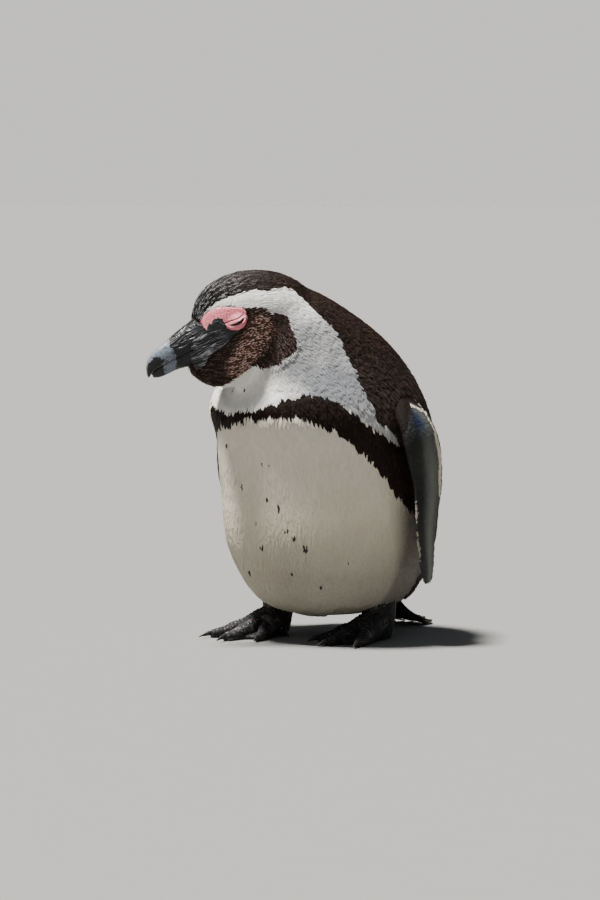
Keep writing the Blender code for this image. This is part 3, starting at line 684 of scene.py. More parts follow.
def remeshed(mesh, voxel, smoothing):
    """The largest surface of a mesh, made anew from even quads and eased."""
    even = ("REMESH", {"mode": "VOXEL", "voxel_size": voxel})
    ease = ("SMOOTH", {"factor": 0.5, "iterations": smoothing})
    mesh = modified(mesh, even, ease)
    work = opened(mesh)
    waiting = set(work.verts)
    surfaces = []
    while waiting:
        surface = [waiting.pop()]
        for vert in surface:
            near = {edge.other_vert(vert) for edge in vert.link_edges} & waiting
            waiting -= near
            surface += near
        surfaces.append(surface)
    surfaces.sort(key=len)
    bmesh.ops.delete(work, geom=sum(surfaces[:-1], []), context="VERTS")
    return closed_into(mesh, work)


def outward(mesh):
    """Turns all faces to point out of the closed surface."""
    work = opened(mesh)
    bmesh.ops.recalc_face_normals(work, faces=work.faces)
    if work.calc_volume(signed=True) < 0:
        bmesh.ops.reverse_faces(work, faces=work.faces)
    closed_into(mesh, work).update()
    return mesh


def loft(rings):
    """A closed smooth mesh through rings of points, with a fan over each end."""
    rings = np.array(rings, float)
    count, around = rings.shape[:2]
    points = np.vstack([rings.reshape(-1, 3), rings[0].mean(0), rings[-1].mean(0)])
    steps = [(k, (k + 1) % around) for k in range(around)]
    first = count * around
    last = first - around
    faces = []
    for base in range(0, last, around):
        faces += [(base + k, base + after, base + around + after, base + around + k) for k, after in steps]
    for k, after in steps:
        faces += [(after, k, first), (last + k, last + after, first + 1)]
    return outward(mesh_from(points, faces))


def tree_of(mesh):
    return BVHTree.FromBMesh(opened(mesh))


def finish_piece(name, mesh, look, slot, *nodes):
    """A piece with its material and the solids it stands for; the slot argument is not used."""
    mesh.name = name
    mesh.materials.clear()
    mesh.materials.append(look)
    obj = new_object(name, mesh)
    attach(obj, "root")
    if nodes:
        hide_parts(*nodes)


# Materials


class Wire:
    """A shader socket on which Python's operators work."""

    def __init__(self, finish, socket):
        self.finish = finish
        self.socket = socket

    def math(self, operation, *others):
        inputs = dict(enumerate((self, *others)))
        return self.finish.wire("ShaderNodeMath", inputs, operation=operation)

    def __add__(self, other):
        return self.math("ADD", other)

    def __mul__(self, other):
        return self.math("MULTIPLY", other)

    def __sub__(self, other):
        return self.math("SUBTRACT", other)

    def __rsub__(self, other):
        return self.math("MULTIPLY_ADD", -1.0, other)

    __radd__ = __add__
    __rmul__ = __mul__

    def between(self, low, high):
        """0 below low, 1 above high, smooth in between."""
        inputs = {"Value": self, "From Min": low, "From Max": high}
        return self.finish.wire("ShaderNodeMapRange", inputs, interpolation_type="SMOOTHSTEP")


def feed(tree, socket, value):
    """Gives a socket a link or a value; a colour of three numbers gets its fourth."""
    if isinstance(value, Wire):
        value = value.socket
    if isinstance(value, bpy.types.NodeSocket):
        tree.links.new(value, socket)
    else:
        socket.default_value = (*value, 1.0) if socket.type == "RGBA" else value


def add_node(tree, kind, inputs=None, **settings):
    """A node: first its settings, then the values or links of its sockets, by number or name."""
    made = tree.nodes.new(kind)
    for key, value in settings.items():
        setattr(made, key, value)
    for key, value in (inputs or {}).items():
        if isinstance(key, int):
            socket = made.inputs[key]
        else:
            socket = next(each for each in made.inputs if each.name == key and each.enabled)
        feed(tree, socket, value)
    return made


class Finish:
    """One material and its nodes."""

    def __init__(self, name, **constants):
        self.material = bpy.data.materials.new(name)
        self.material.use_nodes = True
        self.tree = self.material.node_tree
        self.shader = self.tree.nodes["Principled BSDF"]
        self.set(**constants)

    def set(self, **values):
        for name, value in values.items():
            feed(self.tree, self.shader.inputs[name.replace("_", " ")], value)

    def node(self, kind, inputs=None, **settings):
        return add_node(self.tree, kind, inputs, **settings)

    def wire(self, kind, inputs, **settings):
        return Wire(self, self.node(kind, inputs, **settings).outputs[0])

    def place(self):
        return self.node("ShaderNodeTexCoord").outputs["Object"]

    def attribute(self, name):
        """The four numbers that the piece's points hold under this name."""
        made = self.node("ShaderNodeAttribute", attribute_name=name)
        parts = self.node("ShaderNodeSeparateColor", {"Color": made.outputs["Color"]})
        return [Wire(self, socket) for socket in (*parts.outputs, made.outputs["Alpha"])]

    def noise(self, scale, detail=3.0, rough=0.5, where=None):
        inputs = {"Vector": where or self.place(), "Scale": scale, "Detail": detail, "Roughness": rough}
        return self.wire("ShaderNodeTexNoise", inputs)

    def cells(self, scale):
        """Distance to the middle of the nearest of many cells."""
        return self.wire("ShaderNodeTexVoronoi", {"Vector": self.place(), "Scale": scale})

    def layers(self, colour, *coats):
        """A colour under others, each given as the share that it covers and the colour."""
        for share, over in coats:
            made = self.node("ShaderNodeMix", {0: share, 6: colour, 7: over}, data_type="RGBA")
            colour = made.outputs[2]
        return colour

    def done(self, colour, roughness, *relief):
        """The material, with any relief given as its height, strength and distance."""
        if relief:
            inputs = dict(zip(("Height", "Strength", "Distance"), relief))
            self.set(Normal=self.wire("ShaderNodeBump", inputs))
        self.set(Base_Color=colour, Roughness=roughness)
        return self.material


WHITE = (0.88, 0.875, 0.865)
CREAM = (0.59, 0.535, 0.40)
SHADED_WHITE = (0.185, 0.190, 0.200)
# Painted shade on the white, low on the belly and beside the flipper.
PAINTED_SHADE_WHITE = (0.155, 0.145, 0.126)
BACK_BROWN = (0.0080, 0.0046, 0.0034)
CROWN_BLACK = (0.0105, 0.0092, 0.0088)
FACE_BLACK = (0.0400, 0.0220, 0.0170)
# Pale tips of cheek and crown feathers: partly their own colour, partly painted highlight.
FACE_GLINT = (0.740, 0.560, 0.480)
FACE_RED = (0.640, 0.285, 0.205)
CROWN_GLINT = (0.330, 0.323, 0.330)
BARE_PINK = (0.66, 0.135, 0.175)


def plumage():
    """Feathers: white or dark by the markings stored on them, paler or redder towards their tips, with the
    painted light and shade of their tones.
    """
    finish = Finish("plumage", Specular_IOR_Level=0.08)
    dark, kind, tip, tuft = finish.attribute("coat")
    cream_and_back_light, neck_shade_and_band, shade_and_dark_rim, _ = finish.attribute("shade")
    patch = finish.noise(55.0, 2.0)
    clump = finish.noise(330.0, 2.0)
    white = finish.layers(
        WHITE,
        (cream_and_back_light * 0.9 + patch * 0.2 - 0.05, CREAM),
        (tuft * 0.20 + clump * 0.18 + patch * 0.06, (0.42, 0.38, 0.31)),
        # Painted shade on the white at the neck's sides.
        (neck_shade_and_band * (patch * 0.5 + 0.75), SHADED_WHITE),
        # Painted shade on the white, low on the belly and beside the flipper.
        (shade_and_dark_rim * (clump * 0.3 + 0.8), PAINTED_SHADE_WHITE),
    )
    shown = tip.between(0.40, 0.74)
    brown = finish.layers(
        BACK_BROWN,
        (tuft * 0.5 + patch * 0.4, (0.0210, 0.0122, 0.0090)),
        # Painted light: the lower back paler brown, not on the band.
        (cream_and_back_light * (1.0 - neck_shade_and_band) * 0.75, (0.043, 0.034, 0.029)),
        (shown * tuft.between(0.5, 1.0) * 0.35, (0.070, 0.042, 0.031)),
        (neck_shade_and_band * 0.5, (0.0050, 0.0034, 0.0026)),
    )
    # Pale glints on cheek and crown: partly the feathers' paler tips, partly painted highlight.
    glint = shown * (tuft.between(0.20, 0.58) * 0.9 + 0.1) * clump.between(0.25, 0.50)
    crown_glints = shown * tuft.between(0.42, 0.72) * clump.between(0.32, 0.52)
    crown = finish.layers(CROWN_BLACK, (crown_glints * 0.85, CROWN_GLINT))
    pale_red = finish.layers(FACE_RED, (tuft.between(0.3, 0.9), FACE_GLINT))
    cheek = ((shade_and_dark_rim * 0.75, (0.0065, 0.0048, 0.0042)), (glint * (1.0 - shade_and_dark_rim * 0.93), pale_red))
    face = finish.layers(FACE_BLACK, *cheek)
    coloured = finish.layers(brown, (kind * 2.0, crown), (kind * 2.0 - 1.0, face))
    colour = finish.layers(white, (dark, coloured))
    return finish.done(colour, 0.72 - dark * 0.14, finish.noise(900.0, 2.0), 0.25, 0.0003)


def bare_skin():
    """Soft pink skin with fine grains round the eye, and black wrinkled skin towards the bill; painted
    highlights on the lower lid's rim and the ridge tops, painted shade in the lid's crease.
    """
    finish = Finish("bare_face_skin", Specular_IOR_Level=0.22, Subsurface_Weight=0.10)
    finish.set(Subsurface_Radius=(0.0015, 0.0006, 0.0005))
    pale, crease, black, ridge = finish.attribute("lid")
    folds, rim, _, _ = finish.attribute("rose")
    grains = finish.cells(1000.0)
    blotch = finish.noise(230.0, 3.0)
    pink = finish.layers(
        BARE_PINK,
        (blotch.between(0.35, 0.70), (0.64, 0.205, 0.245)),
        (folds * 0.5 * (1.0 - rim), (0.70, 0.310, 0.340)),
        (grains.between(0.25, 0.65) * 0.25, (0.36, 0.060, 0.085)),
        # The lower lid's pale rim, whitest by the slit as a painted highlight.
        (pale, (0.88, 0.69, 0.67)),
        # Painted shade in the crease over the lids, and the slit as dark as the eye.
        (crease * 0.9, (0.10, 0.018, 0.020)),
    )
    black_with_lit_ridges = finish.layers(
        (0.0100, 0.0100, 0.0108),
        (blotch, (0.0250, 0.0248, 0.0265)),
        # Painted highlight on the ridge tops.
        (ridge.between(0.32, 0.95) * blotch.between(0.30, 0.6) * 0.9, (0.290, 0.290, 0.305)),
    )
    colour = finish.layers(pink, (black, black_with_lit_ridges))
    relief = grains * -0.8 + blotch * 0.6
    return finish.done(colour, 0.46 + black * 0.08 - ridge * 0.14, relief, 0.5, 0.0004)


def horn():
    """Black horn, wrinkled towards its base, with a mottled pale grey band before the tip, painted
    highlights on its ridge tops and along the culmen near the tip.
    """
    finish = Finish("bill_horn", Coat_Weight=0.05, Coat_Roughness=0.25, Specular_IOR_Level=0.28)
    pale, ridge, culmen_highlight, cutting = finish.attribute("horn")
    turn = tuple(Matrix((AHEAD, LEFT, ABOVE)).to_euler())
    inputs = {"Vector": finish.place(), "Scale": (150.0, 900.0, 900.0), "Rotation": turn}
    streak = finish.noise(1.0, 4.0, 0.6, finish.wire("ShaderNodeMapping", inputs))
    mottle = finish.noise(300.0, 4.0, 0.65)
    black = finish.layers(
        (0.0045, 0.0045, 0.0052),
        (streak.between(0.45, 0.75), (0.0150, 0.0150, 0.0170)),
        # Painted highlight: paler ridge tops.
        (ridge.between(0.45, 0.95) * mottle.between(0.36, 0.6) * 0.8, (0.042, 0.043, 0.046)),
    )
    worn = streak.between(0.50, 0.66) * 0.9 + mottle.between(0.50, 0.64) * 0.5
    grey = finish.layers((0.145, 0.170, 0.210), (worn, (0.034, 0.033, 0.032)))
    colour = finish.layers(
        black,
        ((pale + streak - 0.5).between(0.30, 0.80) * 0.92, grey),
        # Painted highlight along the culmen near the tip.
        (culmen_highlight * mottle.between(0.30, 0.55) * 0.75, (0.20, 0.21, 0.22)),
        (cutting * 0.55, (0.16, 0.115, 0.075)),
    )
    return finish.done(colour, 0.32 + mottle * 0.16 - ridge * 0.06, streak + mottle * 0.4, 0.35, 0.0003)


def wet_eye():
    finish = Finish("wet_eye", Specular_IOR_Level=0.35)
    ring = finish.noise(600.0, 2.0)
    return finish.done(finish.layers((0.003, 0.002, 0.0015), (ring, (0.009, 0.005, 0.0035))), 0.12)


def flipper_plumage():
    """Slate-black scale-like feathers with a painted bluish highlight at the shoulder, a painted paler
    middle and painted shade over the front, and the cream edges stored on them.
    """
    finish = Finish("flipper_feathers", Specular_IOR_Level=0.10)
    cream, brown, tip, tuft = finish.attribute("coat")
    blue_sheen, lit_middle, deep, _ = finish.attribute("shade")
    patch = finish.noise(60.0, 3.0)
    colour = finish.layers(
        (0.0340, 0.0350, 0.0340),
        (tuft * 0.6 + patch * 0.4, (0.0740, 0.0765, 0.0740)),
        (tip.between(0.6, 1.0) * tuft * 0.35, (0.095, 0.099, 0.096)),
        # Painted light along the middle of the blade.
        (lit_middle * (patch * 0.6 + 0.6), (0.180, 0.185, 0.160)),
        # Painted highlight: a bluish sheen by the shoulder.
        (blue_sheen, (0.0130, 0.0230, 0.0520)),
        # Painted shade over the front of the blade.
        (deep * 0.7, (0.0050, 0.0048, 0.0048)),
        (brown, (0.0065, 0.0040, 0.0032)),
        (cream, (0.64, 0.58, 0.46)),
    )
    rough = 0.46 + patch * 0.12 + brown * 0.3
    return finish.done(colour, rough, finish.noise(1100.0, 2.0), 0.2, 0.0002)


def scaly_skin():
    """Black skin of the feet, dusty grey on its scales and pinkish here and there."""
    finish = Finish("foot_skin", Specular_IOR_Level=0.18)
    crease, top, _, _ = finish.attribute("scute")
    mottle = finish.noise(95.0, 5.0, 0.6)
    fine = finish.noise(520.0, 4.0, 0.6)
    colour = finish.layers(
        (0.0045, 0.0042, 0.0048),
        (fine, (0.0190, 0.0175, 0.0185)),
        (mottle.between(0.53, 0.68) * 0.6, (0.150, 0.118, 0.115)),
        (fine.between(0.58, 0.72) * (top * 0.5 + 0.25), (0.42, 0.41, 0.43)),
        (crease * 0.7, (0.004, 0.004, 0.004)),
    )
    relief = finish.cells(950.0) * -0.6 + fine * 0.6
    return finish.done(colour, 0.55 + fine * 0.2, relief, 0.55, 0.0005)


def claw_horn():
    finish = Finish("claw_horn", Specular_IOR_Level=0.35)
    streak = finish.noise(700.0, 3.0)
    colour = finish.layers((0.0055, 0.0050, 0.0050), (streak, (0.0240, 0.0215, 0.0200)))
    return finish.done(colour, 0.30 + streak * 0.2, streak, 0.25, 0.0003)


def tail_plumage():
    """Stiff dark feathers: fine slanting barbs, a glossier shaft and worn brown tips."""
    finish = Finish("tail_feathers", Specular_IOR_Level=0.12)
    share, across, shaft, tuft = finish.attribute("vane")
    barbs = (across * 34.0 + share * 150.0).math("SINE") * 0.5 + 0.5
    colour = finish.layers(
        (0.0090, 0.0065, 0.0055),
        (tuft, (0.0210, 0.0145, 0.0115)),
        (share.between(0.75, 1.0) * 0.55, (0.065, 0.045, 0.034)),
        (barbs * 0.35, (0.005, 0.004, 0.0035)),
        (shaft * 0.6, (0.038, 0.028, 0.023)),
    )
    return finish.done(colour, 0.60 - shaft * 0.2, barbs, 0.35, 0.0003)


def pale_floor():
    finish = Finish("pale_floor", Specular_IOR_Level=0.1)
    grain = finish.noise(30.0, 4.0)
    return finish.done(finish.layers((0.190, 0.187, 0.180), (grain * 0.5, (0.178, 0.175, 0.168))), 0.85)


# Skin


def inside_of(tree, points):
    """Which points lie inside a closed surface: from there a ray meets the surface from within."""
    found = np.zeros(len(points), bool)
    for k, point in enumerate(points):
        place, normal, _, _ = tree.ray_cast(Vector(point), LEFT)
        found[k] = place is not None and normal.dot(LEFT) > 0
    return found


def make_skin(bills):
    """One even skin through head, neck, trunk and legs, sunk by the depth of the feathers."""
    fill = [f"{node}_{word}" for node in ("eye", "lid_upper", "lid_lower") for word in SIDES]
    mesh = remeshed(merged_copy((*FLESH, *fill), SEAM_FILL), SKIN_VOXEL, SKIN_SMOOTHING)
    points = rows_of(mesh.vertices, "co")
    along, _, way = LINE.read(points)
    depth = np.interp(along, (0.085, 0.15), (FACE_DEPTH, BODY_DEPTH))
    degrees, spread, level, tall, swell = SHOULDER_SWELL
    off = np.hypot((trunk_angle(points) - degrees) / spread, (points[:, 2] - level) / tall)
    depth = depth - swell * np.exp(-off * off) * clamp((along - 0.13) / 0.03)
    ruffled = clamp((along - 0.095) / 0.02) * clamp((0.235 - along) / 0.04)
    ruffle = ripple(points, 0.0042, 12) + 0.6 * ripple(points, 0.0024, 13)
    depth = depth - ruffled * NECK_RUFFLE * ruffle
    points = points - rows_of(mesh.vertex_normals) * depth[:, None]
    set_points(mesh, points)
    mesh.update()
    normals = rows_of(mesh.vertex_normals)
    lie = square_to(way, normals)
    sway = ripple(points, 0.006, 14) + 0.6 * ripple(points, 0.003, 15)
    sway = sway * TUFT_SWAY * np.interp(along, (0.09, 0.14, 0.22, 0.27), (0.4, 1.0, 0.9, 0.35))
    lie = unit(lie + np.cross(normals, lie) * sway[:, None])
    clear = ~(on_bare_skin(points, -0.3) | on_bare_skin(points + lie * 0.0012, 0.0))
    near_bill = np.nonzero(in_head(points)[:, 0] > HEAD_LINE[2][0])[0]
    for tree in bills:
        clear[near_bill[inside_of(tree, points[near_bill])]] = False
    dark, kind, tones = markings(points, ragged=False)
    flat = np.interp(along, (0.08, 0.12, 0.19, 0.25), (BROW_LIFT, NECK_LIFT, NECK_LIFT, WHITE_LIFT))
    front = np.abs(trunk_angle(points)) < 64
    raised = np.where(front, np.interp(points[:, 2], (0.190, 0.225), (0.0, 1.0)), 1.0)
    lift = np.where(dark > 0.5, np.maximum(raised, flat), flat)
    for word in SIDES:
        low_corner, high_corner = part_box("leg_" + word)
        ankle = (low_corner + high_corner) / 2
        off = np.hypot(points[:, 0] - ankle.x, points[:, 1] - ankle.y)
        off = off - (high_corner.x - low_corner.x) / 2
        dark[(off < ANKLE_SKIN) & (points[:, 2] < ANKLE_DARK)] = 1.0
        clear[(off < ANKLE_CLEAR) & (points[:, 2] < ANKLE_TOP)] = False
    neck = clamp((along - NECK_START) / FACE_FADE) * clamp((NECK_END - along) / TRUNK_FADE)
    store(
        mesh,
        lie=lie,
        lift=lift,
        cover_face=clamp((FACE_END - along) / FACE_FADE) * clear,
        cover_neck=neck * clear,
        cover_trunk=clamp((along - TRUNK_START) / TRUNK_FADE) * clear,
        coat=columns(dark, kind, *BARE_COAT),
        shade=tones,
    )
    mesh.shade_smooth()
    return mesh


# Feathers


def feather_shapes():
    """A few unlike small feathers of unit length and width, keeled, closed and rising off the skin."""
    draw = np.random.default_rng(5)
    holder = bpy.data.collections.new("feather_shapes")
    for number in range(FEATHER_SHAPES):
        bend = draw.uniform(-0.10, 0.10)
        point = draw.uniform(0.7, 1.0)
        points = [(0.0, 0.0, -0.35)]
        for share, half, rise in ((0.22, 0.36, 0.40), (0.55, 0.50, 0.86), (0.84, 0.34 * point, 1.02)):
            side = bend * share * share
            points += [(share, side - half, rise), (share, side, rise + 0.20), (share, side + half, rise)]
        points.append((1.0, bend, 0.98 + draw.uniform(-0.10, 0.12)))
        points = np.array(points) * (1, 1, 0.001)
        faces = [(0, 2, 1), (0, 3, 2), (0, 1, 3)]
        for a in (1, 4):
            for k, after in ((0, 1), (1, 2), (2, 0)):
                faces += [(a + k, a + after, a + 3 + after), (a + k, a + 3 + after, a + 3 + k)]
        faces += [(7, 8, 10), (8, 9, 10), (9, 7, 10)]
        mesh = outward(mesh_from(points, np.array(faces)))
        store(mesh, barb=columns(points[:, 0], np.clip(points[:, 1] * 2, -1, 1), 0.0))
        holder.objects.link(bpy.data.objects.new(f"feather_{number}", mesh))
    return holder


class Garden:
    """A Geometry Nodes tree with named inputs, and the shapes that it plants."""

    def __init__(self, name, inputs, shapes):
        self.shapes = shapes
        self.tree = bpy.data.node_groups.new(name, "GeometryNodeTree")
        self.sockets = {}
        for label, kind in inputs.items():
            made = self.tree.interface.new_socket(label, in_out="INPUT", socket_type="NodeSocket" + kind)
            self.sockets[label] = made.identifier
        self.tree.interface.new_socket("Geometry", in_out="OUTPUT", socket_type="NodeSocketGeometry")
        self.given = self.tree.nodes.new("NodeGroupInput").outputs

    def node(self, kind, inputs=None, **settings):
        """The first socket in use that comes out of a new node."""
        made = add_node(self.tree, kind, inputs, **settings)
        return next((socket for socket in made.outputs if socket.enabled), None)

    def stored(self, name, kind):
        return self.node("GeometryNodeInputNamedAttribute", {"Name": name}, data_type=kind)

    def math(self, operation, first, second):
        return self.node("ShaderNodeMath", {0: first, 1: second}, operation=operation)

    def scaled(self, vector, number):
        return self.node("ShaderNodeVectorMath", {0: vector, "Scale": number}, operation="SCALE")

    def random(self, kind, least, most, seed):
        inputs = {"Min": least, "Max": most, "Seed": seed}
        return self.node("FunctionNodeRandomValue", inputs, data_type=kind)

    def clear(self):
        """Removes the shapes, when nothing more is planted."""
        for shape in list(self.shapes.objects):
            bpy.data.objects.remove(shape)
        bpy.data.collections.remove(self.shapes)


def feather_garden():
    """Scatters feathers evenly over a surface, each laid along the surface's stored lie."""
    kinds = {"Geometry": "Geometry", "Seed": "Int", "Cover": "String"}
    kinds |= {"Shapes": "Collection", "Material": "Material"}
    kinds |= {name: "Float" for name in ("Spacing", "Length", "Width", "Loft")}
    garden = Garden("feathers", kinds, feather_shapes())
    given = garden.given
    space = garden.math("MULTIPLY", given["Spacing"], given["Spacing"])
    scatter = garden.node(
        "GeometryNodeDistributePointsOnFaces",
        {
            "Mesh": given["Geometry"],
            "Distance Min": given["Spacing"],
            "Density Max": garden.math("DIVIDE", ROOTS_TRIED, space),
            "Density Factor": garden.stored(given["Cover"], "FLOAT"),
            "Seed": given["Seed"],
        },
        distribute_method="POISSON",
    )
    place = garden.node("GeometryNodeInputPosition")
    inputs = {"Geometry": scatter, "Name": "root", "Value": place}
    rooted = garden.node("GeometryNodeStoreNamedAttribute", inputs, data_type="FLOAT_VECTOR")
    lie = garden.stored("lie", "FLOAT_VECTOR")
    inputs = {"Primary Axis": scatter.node.outputs["Normal"], "Secondary Axis": lie}
    laid = garden.node("FunctionNodeAxesToRotation", inputs, primary_axis="Z", secondary_axis="X")
    lift = garden.stored("lift", "FLOAT")
    sway = garden.random("FLOAT_VECTOR", LEAST_SWAY, MOST_SWAY, given["Seed"])
    sway = garden.node("FunctionNodeEulerToRotation", {"Euler": garden.scaled(sway, lift)})
    inputs = {"Rotation": laid, "Rotate By": sway}
    turned = garden.node("FunctionNodeRotateRotation", inputs, rotation_space="LOCAL")
    loft_up = garden.math("MULTIPLY", given["Loft"], lift)
    inputs = {"X": given["Length"], "Y": given["Width"], "Z": loft_up}
    size = garden.node("ShaderNodeCombineXYZ", inputs)
    inputs = {"Collection": given["Shapes"], "Separate Children": True, "Reset Children": True}
    shapes = garden.node("GeometryNodeCollectionInfo", inputs, transform_space="ORIGINAL")
    planted = garden.node(
        "GeometryNodeInstanceOnPoints",
        {
            "Points": rooted,
            "Instance": shapes,
            "Pick Instance": True,
            "Instance Index": garden.random("INT", 0, FEATHER_SHAPES - 1, 9),
            "Rotation": turned,
            "Scale": garden.scaled(size, garden.random("FLOAT", *SIZE_RANGE, 3)),
        },
    )
    real = garden.node("GeometryNodeRealizeInstances", {"Geometry": planted})
    inputs = {"Geometry": real, "Material": given["Material"]}
    garden.node("NodeGroupOutput", {0: garden.node("GeometryNodeSetMaterial", inputs)})
    return garden


def grow_feathers(garden, look, surface, cover, spacing, length, width, loft_up, seed):
    """The feathers of one part of a surface as a plain mesh."""
    values = {"Spacing": spacing, "Length": length, "Width": width, "Loft": loft_up, "Seed": seed}
    values |= {"Cover": cover, "Shapes": garden.shapes, "Material": look}
    inputs = {garden.sockets[label]: value for label, value in values.items()}
    return modified(surface, ("NODES", {"node_group": garden.tree, **inputs}))


def by_feather(items, key="vector"):
    """What the points of each feather hold, one block for each feather."""
    return rows_of(items, key).reshape(-1, FEATHER_POINTS, 3)


def coat_pieces(name, source, marks, tones, patch, order, look, slot):
    """Splits a mesh of many feathers into pieces that each stay small, along a sorting value.

    Each feather has two marks and its tuft's number, its tones, and its root's place in the UV map,
    where it is a small patch. The share along it, less towards its sides, is its third mark, so
    that its middle stands out as a stroke.
    """
    points = by_feather(source.vertices, "co")
    barb = by_feather(source.attributes["barb"].data)
    count = len(points)
    shown = barb[..., 0] * (1 - 0.40 * np.abs(barb[..., 1]))
    first, second, tuft = (values[:, None] for values in marks)
    coat = np.stack(np.broadcast_arrays(first, second, shown, tuft), -1)
    shade = np.repeat(tones[:, None], FEATHER_POINTS, 1)
    spot = BAKE_RIM + np.stack(patch, -1)[:, None] * (1 - 2 * BAKE_RIM)
    spot = spot + np.stack([barb[..., 1] / 2, barb[..., 0] - 0.5], -1) * BAKE_PATCH
    starts = (np.arange(count) * FEATHER_POINTS)[:, None, None]
    corners = corners_of(source).reshape(count, -1, 3) - starts
    groups = np.array_split(np.argsort(order, kind="stable"), math.ceil(count / MOST_FEATHERS))
    for number, chosen in enumerate(groups, 1):
        faces = (corners[chosen] + starts[: len(chosen)]).reshape(-1, 3)
        mesh = mesh_from(points[chosen].reshape(-1, 3), faces, smooth=False)
        store(mesh, coat=coat[chosen].reshape(-1, 4), shade=shade[chosen].reshape(-1, 4))
        places = spot[chosen].reshape(-1, 2)[corners_of(mesh)]
        layer = mesh.uv_layers.new(name="OFBake")
        layer.data.foreach_set("uv", places.astype(np.float32).ravel())
        finish_piece(f"{name}_{number}", mesh, look, slot)
    bpy.data.meshes.remove(source)


def body_coat(skin, garden, look):
    """The feathers of face, neck and trunk, marked by where each of them shows."""
    draw = np.random.default_rng(21)
    for zone, slot in (("face", "head"), ("neck", "neck"), ("trunk", "torso")):
        mesh = grow_feathers(garden, look, skin, "cover_" + zone, *COATS[zone])
        roots = by_feather(mesh.attributes["root"].data)[:, 0]
        tips = by_feather(mesh.vertices, "co")[:, -1]
        along, around, _ = LINE.read(roots)
        dark, kind, tones = markings(roots + (tips - roots) * SHOWN_SHARE)
        beside = np.radians(around) * np.interp(along, (0.10, 0.25), (33.0, 80.0))
        streak = flat_noise(along * 1000 / STREAK_LENGTH, beside / STREAK_WIDTH, 6.6)
        tuft = clamp(0.45 + 1.5 * streak + 0.4 * (draw.random(len(roots)) - 0.5))
        patch = (around / 360 + 0.5, along / LINE.along[-1])
        coat_pieces("coat_" + zone, mesh, (dark, kind, tuft), tones, patch, along, look, slot)


# Bill


def fullness(value):
    return np.sign(value) * np.abs(value) ** BILL_FULLNESS


def bump_over(value, width):
    """A smooth hump of height 1 where the value is 0, which ends at the width."""
    return clamp(1 - (value / width) ** 2) ** 2


def wrinkles(along, above):
    """Height from 0 to 1 of the long wavy ridges that run down the bill and on to the bare cheek."""
    upper = np.array(UPPER_BILL_STATIONS)
    lower = np.array(LOWER_BILL_STATIONS)
    roof = np.interp(along, upper[:, 0], upper[:, 1]).clip(0.004)
    keel = np.interp(along, lower[:, 0], -lower[:, 1]).clip(0.004)
    row = np.where(above > 0, above / roof * UPPER_WRINKLES, above / keel * LOWER_WRINKLES)
    row = row + flat_noise(along * 85, row * 0.35, 0.7) * 1.5
    coarse = flat_noise(along * 42, row, 3.1)
    fine = flat_noise(along * 160, row * 2.1, 8.3)
    return clamp(1 - np.abs(coarse) * 5.5) + 0.4 * clamp(1 - np.abs(fine) * 5)


def bill_half(word, stations, split, band, look):
    """Half of the bill as a fine loft with wrinkles that run lengthwise towards its base."""
    upper = split > 0
    rows = smooth_curve(stations, BILL_ROWS)
    angles = np.linspace(0, math.pi, BILL_COLUMNS)
    out = fullness(np.sin(angles))
    side = fullness(np.cos(angles))
    edge = rows[:, 2:3] + split
    width = rows[:, 3:4] * side
    height = edge + (rows[:, 1:2] - edge) * out
    along = rows[:, :1] + height * 0
    fade = np.interp(along, (0.059, 0.069), (1.0, 0.10))
    ridge = wrinkles(along, height) * fade * clamp(np.sin(angles) * 5)
    relief = (ridge - 0.35 * fade) * WRINKLE_DEPTH
    if upper:
        (ahead, above), (reach, tall) = NOSTRIL_AT, NOSTRIL_REACH
        off = np.hypot((along - ahead) / reach, (height - above) / tall)
        nostril = bump_over(off - 1.9, 0.8) * 0.0003 - clamp(1.35 - off) * 0.0012
        relief = relief + nostril * (np.abs(side) > 0.4)
    grow = 1 + relief / np.hypot(np.abs(width), height - edge).clip(0.003)
    width = width * grow
    height = edge + (height - edge) * grow
    mesh = loft(from_head(along, width, height))
    x, y = along * 1000, height * 1000
    ragged = flat_noise(x * 0.55, y * 0.9, 1.7) + 0.6 * flat_noise(x * 1.4, y * 2.2, 4.4)
    pale = edge_distance(band, x, y) * 0.45 + ragged * 1.1 + 0.25
    # The top of the upper bill near its tip, where the horn gets a painted highlight.
    culmen_highlight = clamp(out * 6 - 5) * clamp((x - 58) / 8) * upper
    cutting = clamp(1 - np.abs(height - edge) * 1100) * clamp((x - 68) / 4) * upper
    marks = columns(clamp(pale), clamp(ridge), culmen_highlight, cutting)
    store(mesh, horn=np.vstack([marks, marks[0], marks[-BILL_COLUMNS]]))
    finish_piece("horn_" + word, mesh, look, word, word)
    return tree_of(mesh)


# Eyes


def surface_from_side(tree, along, above, side):
    """How far out a tree's surface lies at each place of a grid, seen from the side of the head."""
    reach = np.full(along.shape, -0.02)
    for index in np.ndindex(along.shape):
        hit = tree.ray_cast(head_point(along[index], side * 0.12, above[index]), LEFT * -side)[0]
        if hit is not None:
            reach[index] = (hit - HEAD_CENTRE).dot(LEFT) * side
    return reach


def cheek_surfaces(trees, along, above, side):
    """How far out cheek and bill lie over a grid, and one smooth surface over both."""
    cheek, *horn_sides = (surface_from_side(tree, along, above, side) for tree in trees)
    horn_side = np.maximum(*horn_sides)
    blend = clamp(0.5 + (cheek - horn_side) / (2 * BILL_BLEND))
    base = horn_side * (1 - blend) + cheek * blend + BILL_BLEND * blend * (1 - blend)
    base = base - 0.0007 * (1 - blend) ** 2
    for _ in range(4):
        around = base[:-2, 1:-1] + base[2:, 1:-1] + base[1:-1, :-2] + base[1:-1, 2:]
        base[1:-1, 1:-1] = (base[1:-1, 1:-1] * 2 + around) / 6
    return cheek, horn_side, base


